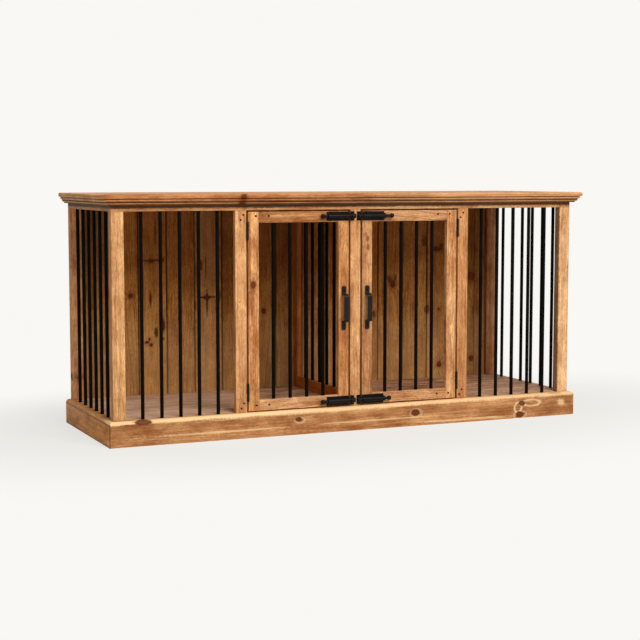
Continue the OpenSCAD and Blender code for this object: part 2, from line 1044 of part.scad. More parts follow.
module hinge_door_screws() {
    for (z = hinge_screw_zs)
        translate([door_out + leaf_t, hinge_screw_y, z]) rotate([0, 90, 0]) children();
}

module keeper_screws() {
    for (z = bolt_zs, s = [-1, 1])
        into_front((keeper_in + mullion_x) / 2, z + s * plate_screw_z, -bolt_plate_t)
            children();
}

module bolt_screws() {
    for (z = bolt_zs, s = [-1, 1], x = [door_in + plate_screw_in, barrel_out - plate_screw_in])
        into_front(x, z + s * plate_screw_z, -bolt_plate_t) children();
}

module handle_screws() {
    for (s = [-1, 1])
        into_front(handle_x, handle_z + s * (handle_l - handle_foot) / 2, -strap_t) children();
}

module door_face_screws() {
    for (z = door_screw_zs, x = door_screw_xs) into_front(x, z, sink_depth) children();
}

// Every hole that a door's screws need
module door_screws() {
    door_face_screws() screw_hole(sink_depth);
    bolt_screws() screw_hole(0);
    handle_screws() screw_hole(0);
    hinge_door_screws() screw_hole(0);
}

module right_door_screws() {
    color(steel) {
        door_face_screws() screw();
        bolt_screws() screw();
        handle_screws() screw();
        hinge_door_screws() screw();
    }
}

module left_door_screws() {
    left_side() right_door_screws();
}

module frame_screws() {
    color(steel) {
        left_post_screws() screw();
        right_post_screws() screw();
        for (s = [0, 1]) mirror([s, 0, 0]) {
            hinge_post_screws() screw();
            keeper_screws() screw();
        }
    }
}

plinth_front();
plinth_left();
plinth_right();
base_rail_front();
base_rail_back();
base_side_rails();
floor_joists();
floor_boards();
post_front_left();
post_front_right();
post_back_left();
post_back_right();
post_inner_left();
post_inner_right();
mullion();
top_rail_front();
top_rail_back();
top_side_rails();
top_bearers();
back_boards();
top_boards();
crown_front();
crown_left();
crown_right();
bars_front_left();
bars_front_right();
bars_left_end();
bars_right_end();
divider_front_stile();
divider_back_stile();
divider_bottom_rail();
divider_top_rail();
divider_bars();
left_door_hinge_stile();
left_door_latch_stile();
left_door_top_rail();
left_door_bottom_rail();
left_door_bars();
right_door_hinge_stile();
right_door_latch_stile();
right_door_top_rail();
right_door_bottom_rail();
right_door_bars();
hinge_frame_leaves();
hinge_pins();
left_hinge_door_leaves();
right_hinge_door_leaves();
left_door_handle();
right_door_handle();
left_door_bolts();
right_door_bolts();
bolt_keepers();
left_top_bolt_rod();
left_bottom_bolt_rod();
right_top_bolt_rod();
right_bottom_bolt_rod();
frame_screws();
left_door_screws();
right_door_screws();
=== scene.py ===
import json
import math

import bmesh
import bpy
from mathutils import Matrix, Vector

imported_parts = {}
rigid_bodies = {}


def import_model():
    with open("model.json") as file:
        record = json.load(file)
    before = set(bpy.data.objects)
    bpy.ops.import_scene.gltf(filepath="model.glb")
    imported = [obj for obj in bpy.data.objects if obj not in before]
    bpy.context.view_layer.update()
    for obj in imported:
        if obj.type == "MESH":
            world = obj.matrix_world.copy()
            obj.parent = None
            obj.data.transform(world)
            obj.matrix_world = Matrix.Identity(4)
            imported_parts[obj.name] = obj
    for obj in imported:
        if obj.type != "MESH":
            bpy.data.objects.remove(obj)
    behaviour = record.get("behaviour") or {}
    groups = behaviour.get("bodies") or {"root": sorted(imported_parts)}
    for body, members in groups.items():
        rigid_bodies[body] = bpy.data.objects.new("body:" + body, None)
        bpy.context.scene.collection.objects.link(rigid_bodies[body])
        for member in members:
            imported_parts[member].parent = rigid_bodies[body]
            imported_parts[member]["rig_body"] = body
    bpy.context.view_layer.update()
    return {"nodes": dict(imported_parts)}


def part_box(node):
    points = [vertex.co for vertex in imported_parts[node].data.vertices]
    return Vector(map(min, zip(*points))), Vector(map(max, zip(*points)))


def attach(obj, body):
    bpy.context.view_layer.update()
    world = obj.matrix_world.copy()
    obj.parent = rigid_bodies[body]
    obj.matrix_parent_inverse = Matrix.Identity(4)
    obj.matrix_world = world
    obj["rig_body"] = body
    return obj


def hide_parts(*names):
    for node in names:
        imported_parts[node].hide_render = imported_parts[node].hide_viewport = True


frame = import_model()

bl_info = {
    "name": "Pet Crate",
    "version": (1, 0, 0),
    "blender": (4, 5, 0),
    "location": "3D View > Sidebar > Pet Crate",
    "description": "Dresses the pine and steel pet crate and lights it",
    "category": "Object",
}

FRONT, RIGHT = Vector((0, -1, 0)), Vector((1, 0, 0))
FLAT = (0, 0, 0)

# Lengths in metres and angles in degrees that the meshes are made with
MERGE = 1e-6  # points closer than this are one
LEVEL = 0.4  # faces that meet at less than this are one flat face
TIMBER_SHORTEST, TIMBER_CORNER = 0.02, 40  # the shortest and the flattest edge that is sanded
STEEL_SHORTEST, STEEL_CORNER = 0.004, 50  # and that is broken on a fitting
# Faces that meet at less than this are shaded as one round
MOULDING_SMOOTH, STEEL_SMOOTH, ROD_SMOOTH, SCREW_SMOOTH = 24, 35, 40, 30


def srgb(red, green, blue):
    """A colour as seen on a screen, 0 to 255, as the scene's linear colour."""
    def linear(c):
        c /= 255
        return c / 12.92 if c <= 0.04045 else ((c + 0.055) / 1.055) ** 2.4
    return linear(red), linear(green), linear(blue)


# Node trees written as expressions


class Value:
    """A socket that an expression works on. Its arithmetic adds Math nodes."""

    def __init__(self, nodes, socket):
        self.nodes, self.socket = nodes, socket

    def of(self, name):
        """Another output of the same node."""
        return Value(self.nodes, self.socket.node.outputs[name])

    def math(self, operation, *others, first=False):
        parts = [*others, self] if first else [self, *others]
        return self.nodes.add("ShaderNodeMath", {"operation": operation}, dict(enumerate(parts)))

    def __add__(self, other):
        return self.math("ADD", other)

    __radd__ = __add__

    def __sub__(self, other):
        return self.math("SUBTRACT", other)

    def __rsub__(self, other):
        return self.math("SUBTRACT", other, first=True)

    def __mul__(self, other):
        return self.math("MULTIPLY", other)

    __rmul__ = __mul__

    def __truediv__(self, other):
        return self.math("DIVIDE", other)

    def __rtruediv__(self, other):
        return self.math("DIVIDE", other, first=True)

    def __pow__(self, other):
        return self.math("POWER", other)

    def __rpow__(self, other):
        return self.math("POWER", other, first=True)

    def smallest(self, other):
        return self.math("MINIMUM", other)

    def clamped(self):
        return self.math("MAXIMUM", 0.0).math("MINIMUM", 1.0)

    def sway(self, width):
        """A share from 0 to 1 as a swing about 0 of that width."""
        return (self - 0.5) * width

    def step(self, low, high, to_low=0.0, to_high=1.0):
        """A smooth ramp between two values."""
        return self.nodes.add("ShaderNodeMapRange", {"interpolation_type": "SMOOTHSTEP"},
                              {0: self, 1: low, 2: high, 3: to_low, 4: to_high})


class Nodes:
    """Adds nodes to a tree: their settings first, then the values or links of their sockets."""

    def __init__(self, tree):
        self.tree = tree
        tree.nodes.clear()

    def add(self, kind, settings=None, sockets=None, output=0):
        node = self.tree.nodes.new(kind)
        for name, value in (settings or {}).items():
            setattr(node, name, value)
        for key, value in (sockets or {}).items():
            if isinstance(value, Value):
                self.tree.links.new(value.socket, node.inputs[key])
            elif value is not None:
                node.inputs[key].default_value = value
        return Value(self, node.outputs[output]) if len(node.outputs) else node

    def vector(self, operation, *parts, output=0):
        return self.add("ShaderNodeVectorMath", {"operation": operation}, dict(enumerate(parts)), output)

    def join(self, x, y, z):
        return self.add("ShaderNodeCombineXYZ", None, {0: x, 1: y, 2: z})

    def split(self, vector):
        part = self.add("ShaderNodeSeparateXYZ", None, {0: vector})
        return part, part.of("Y"), part.of("Z")

    def mix(self, share, first, second, blend="MIX"):
        def rgba(c):
            return c if isinstance(c, Value) else (*c[:3], 1)
        return self.add("ShaderNodeMix", {"data_type": "RGBA", "blend_type": blend},
                        {0: share, 6: rgba(first), 7: rgba(second)}, output=2)

    def noise(self, place, scale, detail, rough=0.5):
        return self.add("ShaderNodeTexNoise", None, {
            "Vector": place, "Scale": scale, "Detail": detail, "Roughness": rough})

    def chance(self, number, output):
        """White noise: one number always draws the same."""
        return self.add("ShaderNodeTexWhiteNoise", {"noise_dimensions": "1D"}, {"W": number}, output)

    def place(self):
        """Where a point lies on the crate, in metres."""
        return self.add("ShaderNodeTexCoord", None, None, "Object")

    def attribute(self, name, output="Vector"):
        """What a mesh holds at each of its points."""
        return self.add("ShaderNodeAttribute", {"attribute_name": name}, None, output)

    def sweep(self, line, section):
        """A section carried along a line, with both ends closed."""
        return self.add("GeometryNodeCurveToMesh", None, {
            "Curve": line, "Profile Curve": section, "Fill Caps": True})

    def moved(self, geometry, offset, turn=None):
        return self.add("GeometryNodeTransform", None, {
            "Geometry": geometry, "Translation": offset, "Rotation": turn})

    def at_points(self, points, shape, turn=None):
        return self.add("GeometryNodeInstanceOnPoints", None, {
            "Points": points, "Instance": shape, "Rotation": turn})

    def joined(self, *parts):
        both = self.add("GeometryNodeJoinGeometry")
        for part in parts:
            self.tree.links.new(part.socket, both.socket.node.inputs[0])
        return both


def new_material(name):
    """A material, and the helper that fills its node tree."""
    material = bpy.data.materials.new(name)
    material.use_nodes = True
    return material, Nodes(material.node_tree)


def surface(nodes, sockets):
    shader = nodes.add("ShaderNodeBsdfPrincipled", None, sockets)
    nodes.add("ShaderNodeOutputMaterial", None, {"Surface": shader})


def bump(nodes, height, depth, strength):
    return nodes.add("ShaderNodeBump", None, {
        "Strength": strength, "Distance": depth, "Height": height})


# Pine

# The marks of the figure: length along the grain and width across it in metres, the noise's
# detail and roughness, and a shift that gives each timber its own
MARKS = {
    "band": (0.42, 0.036, 2.0, 0.55, 23.0),
    "ribbon": (0.16, 0.010, 2.0, 0.6, 70.0),
    "blotch": (0.085, 0.045, 3.0, 0.6, 11.0),
    "fibre": (0.040, 0.0026, 3.0, 0.65, 90.0),
    "fleck": (0.015, 0.0048, 2.0, 0.7, 61.0),
    "pores": (0.010, 0.0012, 1.0, 0.55, 5.0),
}
# Slow waves in the rings: scales along and across the grain per metre, a timber's shift and detail
WAVE, DRIFT = (6.0, 16.0, 17, 2.0), (1.3, 2.0, 51, 1.0)
# How far the marks sway the stain between light and dark wood
RIBBON_STAIN, BLOTCH_STAIN, TIMBER_STAIN = 1.1, 1.4, 0.3
# The wood's brightness against its plain colour, and how far the marks sway or darken it
BRIGHTNESS, FIBRE_SHADE, FLECK_SHADE, TIMBER_SHADE = 1.03, 0.80, 1.4, 0.14
PORE_DARK, SPECK_DARK, FLECK_DARK = 0.12, 0.30, 0.22
EDGE_LEFT = 0.22  # what is left of the brightness at a board's stained edge
# Where the middle of the rings lies, in metres: how far to the side and how deep, how that differs
# between timbers, and how it leans and drifts along one
PITH_ASIDE, PITH_SIDE_LEAN, PITH_DRIFT = 0.10, 0.05, 0.16
PITH_DEPTH, PITH_SPREAD, PITH_LEAN = 0.022, 0.05, 0.04
RING_WAVE, RING_SWIRL = 0.012, 0.014  # how far rings waver, and bend round a knot, in metres
PITCH_LEAST, PITCH_SPREAD = 0.75, 0.6  # a timber's least ring pitch, and how much wider it can be
LATE_CURVE, LATE_END = 2.2, 0.9  # how sharply a ring darkens, and where in it that ends
YEAR_LEAST = 0.25  # the faintest year's ring against the darkest
# Pin knots: cells per metre along, across and into the timber, and the size of a knot against its
# cell where there is one and where there is none
PIN_CELLS, PIN_SIZE, NO_PIN = (2.6, 6.5, 2.0), 0.05, 0.004
# A knot's ragged edge: the fringe and the lobes by their fineness per metre, and their shares
FRINGE_SCALE, LOBE_SCALE = 120.0, 46.0
KNOT_ROUND, KNOT_LOBES, KNOT_FRINGE = 0.18, 0.7, 0.94
KNOT_COVER, RIM_COVER, HALO_COVER, SINK_SHADE_COVER = 0.95, 0.8, 0.5, 0.85  # how far each hides the wood; the last is for the painted shade round a sunk screw
SINK_SHADE_RADIUS = 0.0045  # radius of the painted shade round a sunk screw, which stands in for the shadow in its countersink
PINE_BUMP, PINE_BUMP_STRENGTH = 0.0007, 0.55  # depth of the grain in metres, and how it shows


class Figure:
    """The pine's figure as values over its surface. The grain runs along each timber, from the
    attributes that mark_grain writes."""

    def __init__(self, nodes):
        self.nodes = nodes
        self.along, self.across, self.deep = nodes.split(nodes.attribute("grain"))
        self.timber = nodes.attribute("timber", "Fac")
        self.luck = nodes.split(nodes.chance(self.timber, "Color"))
        self.place = nodes.place()
        marks = (self.mark(*sizes) for sizes in MARKS.values())
        self.band, self.ribbon, self.blotch, self.fibre, self.fleck, self.pores = marks
        self.fringe = nodes.noise(self.place, FRINGE_SCALE, 3.0, 0.65)
        self.lobes = nodes.noise(self.place, LOBE_SCALE, 4.0, 0.7)
        self.wave = self.drawn_out(*WAVE)

    def drawn_out(self, along, across, shift, detail):
        """Noise by its scales along and across the grain, per metre."""
        place = self.nodes.join(self.along * along + self.timber * shift,
                                self.across * across, self.deep * across)
        return self.nodes.noise(place, 1.0, detail)

    def mark(self, length, width, detail, rough, shift):
        """Noise by its size along and across the grain, in metres."""
        place = self.nodes.join(self.along / length + self.timber * shift,
                                self.across / width, self.deep / width)
        return self.nodes.noise(place, 1.0, detail, rough)

    def away(self, centre, radii):
        """The distance from a place on the crate, measured in the mark's own radii."""
        off = self.nodes.vector("SUBTRACT", self.place, centre)
        off = self.nodes.vector("MULTIPLY", off, tuple(1 / r if r else 0.0 for r in radii))
        return self.nodes.vector("LENGTH", off, output="Value")

    def from_knot(self, knots, share):
        """The distance from the nearest knot, in its own radii and with a ragged edge: the named
        knots, and pin knots strewn by chance in a share of the cells, longer along the grain."""
        along, across, deep = PIN_CELLS
        strewn = self.nodes.join(self.along * along + self.timber * 37,
                                 self.across * across, self.deep * deep + self.luck[0] * 9)
        cell = self.nodes.add("ShaderNodeTexVoronoi", {"voronoi_dimensions": "3D"},
                              {"Vector": strewn, "Scale": 1.0}, "Distance")
        pick, size, _ = self.nodes.split(cell.of("Color"))
        near = cell / (pick.step(share, share - 0.05, NO_PIN, PIN_SIZE) * (0.5 + size * 0.8))
        for knot in knots:
            near = near.smallest(self.away(*knot))
        return near * (KNOT_ROUND + self.lobes * KNOT_LOBES + self.fringe * KNOT_FRINGE)

    def late_wood(self, pitch, swirl):
        """The dark lines of the growth rings, about a pith that lies to one side of the timber."""
        turn_a, turn_b, turn_c = self.luck
        drift = self.drawn_out(*DRIFT)
        side = (self.across + turn_a.sway(PITH_ASIDE) + self.along * (turn_b - 0.5) * PITH_SIDE_LEAN
                + drift.sway(PITH_DRIFT))
        under = (self.deep + PITH_DEPTH + turn_c * PITH_SPREAD
                 + self.along * (turn_a - 0.5) * PITH_LEAN)
        radius = (side * side + under * under).math("SQRT")
        radius = radius + self.wave.sway(RING_WAVE) + swirl * RING_SWIRL
        count = radius / (pitch * (PITCH_LEAST + turn_b * PITCH_SPREAD))
        part = count.math("FRACT")
        year = self.nodes.chance(count.math("FLOOR"), "Value")
        year = YEAR_LEAST + year * (1 - YEAR_LEAST)
        return (part ** LATE_CURVE) * part.step(1.0, LATE_END) * year

    def stain(self, contrast, mottle):
        """How much of the wood is dark, from 0 to 1."""
        marks = self.band.sway(contrast) + self.ribbon.sway(RIBBON_STAIN) + self.blotch.sway(BLOTCH_STAIN)
        return (marks * mottle + self.luck[2].sway(TIMBER_STAIN) + 0.5).clamped()

    def brightness(self, mottle, edge):
        """How bright the wood is against its plain colour."""
        specks = (self.fringe.step(0.62, 0.70) * self.blotch.step(0.48, 0.6) * SPECK_DARK
                  + self.fleck.step(0.56, 0.72) * FLECK_DARK)
        level = (BRIGHTNESS + (self.fibre.sway(FIBRE_SHADE) + self.fleck.sway(FLECK_SHADE)) * mottle
                 + self.luck[1].sway(TIMBER_SHADE) - self.pores.step(0.58, 0.76) * PORE_DARK - specks)
        if edge:
            level = level * self.across.math("ABSOLUTE").step(*edge, 1.0, EDGE_LEFT)
        return level


def pine(name, finish, light, dark, knots=(), streaks=(), loops=(), sinks=(), edge=None,
         lines=1.0, mottle=1.0, gloss=0.12):
    """Knotty pine. knots are (centre, radii), streaks (centre, radii, colour, strength), which are marks
    in the wood and in places painted light and shade, and loops, which are pale rings, (centre, radii,
    strength), all at their places on the crate. sinks are the (x, z) of the screws sunk in the front, each
    ringed with painted shade for the shadow in its countersink, and edge is where a board's stained edge
    begins and ends.
    lines and mottle are how strong the ring lines and the figure are beside the usual, and gloss is
    the strength of the sheen."""
    material, nodes = new_material(name)
    figure = Figure(nodes)
    near = figure.from_knot(knots, finish.knot_share)
    swirl = (0.0 - near * near * 0.22).math("EXPONENT")
    late = figure.late_wood(finish.ring_pitch, swirl)

    colour = nodes.mix(figure.stain(finish.figure_contrast, mottle), light, dark)
    colour = nodes.mix((late * finish.ring_strength * lines).clamped(), colour, finish.pine_grain)
    level = figure.brightness(mottle, edge)
    # each timber's tint, which in places is painted light and shade
    tint_and_painted_light = nodes.vector("MULTIPLY", nodes.attribute("tint_and_painted_light"), nodes.join(level, level, level))
    colour = nodes.mix(1.0, colour, tint_and_painted_light, "MULTIPLY")
    colour = nodes.mix(near.step(2.4, 0.8) * HALO_COVER, colour, finish.pine_grain)
    # Some streaks are marks in the wood; others, as their tables say, are painted light and shade.
    for centre, radii, stain, strength in streaks:
        away = figure.away(centre, radii) + figure.ribbon.sway(0.9) + figure.fringe.sway(0.9)
        colour = nodes.mix(away.step(1.0, 0.45) * strength, colour, stain)
    for centre, radii, strength in loops:
        away = figure.away(centre, radii) + figure.lobes.sway(0.9) + figure.fringe.sway(0.5)
        ring = away.step(0.55, 0.9) * away.step(1.35, 1.0)
        colour = nodes.mix(ring * strength, colour, finish.pine_pale)

    rings = (near * 16 + figure.wave * 9).math("SINE") * 0.25 + 0.25
    heart = nodes.mix(rings, finish.knot_heart, finish.knot_rim)
    core = near.step(1.2, 0.75)
    rim = near.step(0.5, 0.95) * core
    colour = nodes.mix(core * KNOT_COVER, colour, heart)
    colour = nodes.mix(rim * figure.fleck.step(0.35, 0.6) * RIM_COVER, colour, finish.knot_rim)
    # a ring of painted shade round each sunk screw, for the shadow in its countersink
    for x, z in sinks:
        away = figure.away((x, 0, z), (SINK_SHADE_RADIUS, 0, SINK_SHADE_RADIUS))
        colour = nodes.mix(away.step(1.0, 0.7) * SINK_SHADE_COVER, colour, BARK)

    height = figure.fibre * 0.6 - late * 0.5 - figure.pores * 0.3 - core * 0.4
    surface(nodes, {
        "Base Color": colour,
        "Roughness": (finish.wood_roughness + figure.fibre.sway(0.2) + core * 0.08).clamped(),
        "Normal": bump(nodes, height, PINE_BUMP, PINE_BUMP_STRENGTH),
        "Specular IOR Level": gloss,
    })
    return material


# Black steel

CLOUD_SCALE = 26.0  # fineness of the cloud in the coat's sheen, per metre
CLOUD_SWAY, PEBBLE_SWAY = 0.22, 0.12  # how far the cloud and the pebble sway the roughness
PEBBLE_BUMP, PEBBLE_BUMP_STRENGTH = 0.12, 0.35  # its depth against its size, and how it shows


def black_steel(name, finish, pebble_size, roughness, gloss):
    """Black coated steel: a fine pebble in the coat, and a faint cloud in its sheen."""
    material, nodes = new_material(name)
    place = nodes.place()
    pebble = nodes.noise(place, 1.0 / pebble_size, 2.0, 0.6)
    cloud = nodes.noise(place, CLOUD_SCALE, 3.0, 0.6)
    surface(nodes, {
        "Base Color": nodes.mix(cloud.step(0.35, 0.7), finish.steel_dark, finish.steel_light),
        "Metallic": 0.0,
        "Roughness": (roughness + cloud.sway(CLOUD_SWAY) + pebble.sway(PEBBLE_SWAY)).clamped(),
        "Normal": bump(nodes, pebble, pebble_size * PEBBLE_BUMP, PEBBLE_BUMP_STRENGTH),
        "Specular IOR Level": gloss,
    })
    return material


# Meshes

# These make one number of a timber's place and length, unlike its neighbours'
PLACE_MIX = (0.731, 1.373, 2.119)
LENGTH_KINDS, LENGTH_MIX = 7, 0.113


def loose_parts(bm):
    """The mesh's separate solids, each as its vertices."""
    seen, parts = set(), []
    for vert in bm.verts:
        if vert in seen:
            continue
        seen.add(vert)
        part, stack = [], [vert]
        while stack:
            at = stack.pop()
            part.append(at)
            for edge in at.link_edges:
                other = edge.other_vert(at)
                if other not in seen:
                    seen.add(other)
                    stack.append(other)
        parts.append(part)
    return parts


def box_of(verts):
    return (Vector([min(v.co[i] for v in verts) for i in range(3)]),
            Vector([max(v.co[i] for v in verts) for i in range(3)]))


def cad_copy(node):
    """A CAD node's mesh as a bmesh, its loose triangles merged."""
    bm = bmesh.new()
    bm.from_mesh(frame["nodes"][node].data)
    bmesh.ops.remove_doubles(bm, verts=bm.verts, dist=MERGE)
    return bm


def cad_parts(node):
    """(lowest corner, highest corner) of each solid of a CAD node, in order."""
    bm = cad_copy(node)
    boxes = sorted((tuple(lo), tuple(hi)) for lo, hi in (box_of(p) for p in loose_parts(bm)))
    bm.free()
    return [(Vector(lo), Vector(hi)) for lo, hi in boxes]


def shade_by_angle(bm, degrees):
    for face in bm.faces:
        face.smooth = degrees > 0
    for edge in bm.edges:
        edge.smooth = (len(edge.link_faces) == 2
                       and edge.calc_face_angle(0.0) < math.radians(degrees))


def ease_edges(bm, width, shortest, corner):
    """Rounds the long outer edges, as sanding does. Flat faces are joined first."""
    bmesh.ops.dissolve_limit(bm, angle_limit=math.radians(LEVEL), verts=bm.verts, edges=bm.edges)
    edges = [e for e in bm.edges if len(e.link_faces) == 2 and e.is_convex
             and e.calc_length() > shortest and e.calc_face_angle(0.0) > math.radians(corner)]
    if edges:
        bmesh.ops.bevel(bm, geom=edges, offset=width, segments=2, profile=0.5,
                        affect="EDGES", clamp_overlap=True)


def mark_grain(mesh, tint_and_painted_light):
    """Writes where each point lies in its own timber: along the grain, across it and into it, a number for
    the timber that its figure follows, and the timber's tint, which in places is painted light and shade."""
    bm = bmesh.new()
    bm.from_mesh(mesh)
    bm.verts.ensure_lookup_table()
    grain = [FLAT] * len(bm.verts)
    timber = [0.0] * len(bm.verts)
    for part in loose_parts(bm):
        lo, hi = box_of(part)
        middle, size = (lo + hi) / 2, hi - lo
        order = sorted(range(3), key=lambda i: -size[i])
        key = sum(round(c * 1000) * k for c, k in zip(middle, PLACE_MIX))
        number = key % 1.0 + (round(size[order[0]] * 1000) % LENGTH_KINDS) * LENGTH_MIX
        for v in part:
            off = v.co - middle
            grain[v.index] = tuple(off[i] for i in order)
            timber[v.index] = number
    bm.free()
    write_points(mesh, "grain", [c for g in grain for c in g])
    write_points(mesh, "timber", timber, "FLOAT")
    write_points(mesh, "tint_and_painted_light", list(tint_and_painted_light) * len(timber))


def write_points(mesh, name, values, kind="FLOAT_VECTOR"):
    """Writes an attribute of a mesh's points, three numbers to a point or one."""
    attribute = mesh.attributes.new(name, kind, "POINT")
    attribute.data.foreach_set("value" if kind == "FLOAT" else "vector", values)


def to_mesh(name, bm):
    """A bmesh as a mesh. The bmesh is freed."""
    mesh = bpy.data.meshes.new(name)
    bm.to_mesh(mesh)
    bm.free()
    return mesh


def add_mesh(whole, part):
    """Joins one bmesh to another and frees it."""
    mesh = to_mesh("part", part)
    whole.from_mesh(mesh)
    bpy.data.meshes.remove(mesh)


def sunk_screws(*nodes):
    """Where the nodes' screws sit below the front of the posts and doors, as (x, z)."""
    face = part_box("post_inner_left")[0][1]
    boxes = [box for node in nodes for box in cad_parts(node)]
    return [((lo.x + hi.x) / 2, (lo.z + hi.z) / 2) for lo, hi in boxes
            if lo.y > face and hi.y - lo.y > hi.x - lo.x]


def body_of(node):
    return frame["nodes"][node]["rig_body"]


def new_object(name, data):
    """An object, put in the scene."""
    made = bpy.data.objects.new(name, data)
    bpy.context.scene.collection.objects.link(made)
    return made


def place_piece(kind, node, bm, material):
    """Puts a finished mesh in the scene, on its body, in place of the CAD node it stands for.
    kind is pine or steel."""
    mesh = to_mesh(f"{kind}_{node}", bm)
    if kind == "pine":
        mark_grain(mesh, TINTS_AND_PAINTED_LIGHT.get(node, UNTINTED))
    mesh.materials.clear()
    mesh.materials.append(material)
    piece = new_object(mesh.name, mesh)
    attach(piece, body_of(node))
    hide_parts(node)


def timber_piece(node, material, ease, smooth=0):
    """One pine node with its long edges sanded."""
    bm = cad_copy(node)
    ease_edges(bm, ease, TIMBER_SHORTEST, TIMBER_CORNER)
    shade_by_angle(bm, smooth)
    place_piece("pine", node, bm, material)


def steel_piece(node, material, ease):
    """One steel node with its edges broken and its rounds shaded smooth."""
    bm = cad_copy(node)
    ease_edges(bm, ease, STEEL_SHORTEST, STEEL_CORNER)
    shade_by_angle(bm, STEEL_SMOOTH)
    place_piece("steel", node, bm, material)


# Geometry Nodes

ROD_SIDES = 28
HEAD_SIDES, SHANK_SIDES = 28, 12
# Against the head's diameter: the radius of the dome on it, and the length of the cross recess
DOME, CROSS = 0.62, 0.62


def geometry_tree(name, sizes, takes_mesh=False):
    """A Geometry Nodes tree with a named input for each size: (name, socket type, default)."""
    tree = bpy.data.node_groups.new(name, "GeometryNodeTree")
    tree.interface.new_socket("Geometry", in_out="OUTPUT", socket_type="NodeSocketGeometry")
    if takes_mesh:
        tree.interface.new_socket("Points", in_out="INPUT", socket_type="NodeSocketGeometry")
    for label, kind, default in sizes:
        socket = tree.interface.new_socket(label, in_out="INPUT", socket_type="NodeSocket" + kind)
        socket.default_value = default
    nodes = Nodes(tree)
    return tree, nodes, nodes.add("NodeGroupInput")


def close_tree(nodes, geometry, material):
    """Ends a tree: real meshes, then their material."""
    real = nodes.add("GeometryNodeRealizeInstances", None, {0: geometry})
    coated = nodes.add("GeometryNodeSetMaterial", None, {"Geometry": real, "Material": material})
    nodes.add("NodeGroupOutput", None, {0: coated})


def grown(tree, sizes, points=None):
    """The plain mesh that a tree makes with these sizes, as a bmesh."""
    holder = new_object(tree.name, points or bpy.data.meshes.new(tree.name))
    modifier = holder.modifiers.new(tree.name, "NODES")
    modifier.node_group = tree
    names = {s.name: s.identifier for s in tree.interface.items_tree if s.in_out == "INPUT"}
    for label, value in sizes.items():
        modifier[names[label]] = value
    bpy.context.view_layer.update()
    made = bpy.data.meshes.new_from_object(holder.evaluated_get(bpy.context.evaluated_depsgraph_get()))
    bm = bmesh.new()
    bm.from_mesh(made)
    bpy.data.objects.remove(holder)
    bpy.data.meshes.remove(made)
    bmesh.ops.remove_doubles(bm, verts=bm.verts, dist=MERGE)
    bmesh.ops.recalc_face_normals(bm, faces=bm.faces)
    return bm


def rod_tree(material):
    """A row of round rods, each one swept up a line."""
    tree, nodes, sizes = geometry_tree("rod_row", [
        ("Count", "Int", 5), ("First", "Vector", FLAT), ("Step", "Vector", (0.07, 0, 0)),
        ("Radius", "Float", 0.006), ("Length", "Float", 0.7), ("Sides", "Int", ROD_SIDES)])
    top = nodes.join(0.0, 0.0, sizes.of("Length"))
    line = nodes.add("GeometryNodeCurvePrimitiveLine", None, {"Start": FLAT, "End": top})
    ring = nodes.add("GeometryNodeCurvePrimitiveCircle", None,
                     {"Resolution": sizes.of("Sides"), "Radius": sizes.of("Radius")})
    row = nodes.add("GeometryNodeMeshLine", None, {
        "Count": sizes.of("Count"), "Start Location": sizes.of("First"), "Offset": sizes.of("Step")})
    close_tree(nodes, nodes.at_points(row, nodes.sweep(line, ring)), material)
    return tree


def board_tree(material):
    """A row of boards side by side. Each is a section with its face edges cut back, swept along its
    length, with a tongue that reaches into the next board. The face looks along -Y."""
    tree, nodes, sizes = geometry_tree("board_row", [
        ("Count", "Int", 4), ("Pitch", "Float", 0.11), ("Width", "Float", 0.11),
        ("Thickness", "Float", 0.019), ("Length", "Float", 0.7), ("Face Cut", "Float", 0.003),
        ("Back Cut", "Float", 0.0005), ("Tongue", "Float", 0.005), ("Place", "Vector", FLAT),
        ("Turn", "Rotation", FLAT)])
    outline = nodes.add("GeometryNodeCurvePrimitiveQuadrilateral", None,
                        {"Width": sizes.of("Width"), "Height": sizes.of("Thickness")})
    _, rise, _ = nodes.split(nodes.add("GeometryNodeInputPosition"))
    face = rise.math("LESS_THAN", 0.0)
    cut = face * sizes.of("Face Cut") + (1.0 - face) * sizes.of("Back Cut")
    section = nodes.add("GeometryNodeFilletCurve", None, {"Curve": outline, "Radius": cut})
    tongue = sizes.of("Tongue")
    key = nodes.add("GeometryNodeCurvePrimitiveQuadrilateral", None,
                    {"Width": tongue * 2.0, "Height": tongue})
    key = nodes.moved(key, nodes.join(sizes.of("Width") / 2.0, 0.0, 0.0))
    half = sizes.of("Length") / 2.0
    line = nodes.add("GeometryNodeCurvePrimitiveLine", None, {
        "Start": nodes.join(0.0, 0.0, 0.0 - half), "End": nodes.join(0.0, 0.0, half)})
    row = nodes.add("GeometryNodeMeshLine", None, {
        "Count": sizes.of("Count"), "Start Location": FLAT,
        "Offset": nodes.join(sizes.of("Pitch"), 0.0, 0.0)})
    boards = nodes.at_points(row, nodes.sweep(line, section))
    keys = nodes.at_points(row, nodes.sweep(line, key))
    placed = nodes.moved(nodes.joined(keys, boards), sizes.of("Place"), sizes.of("Turn"))
    close_tree(nodes, placed, material)
    return tree


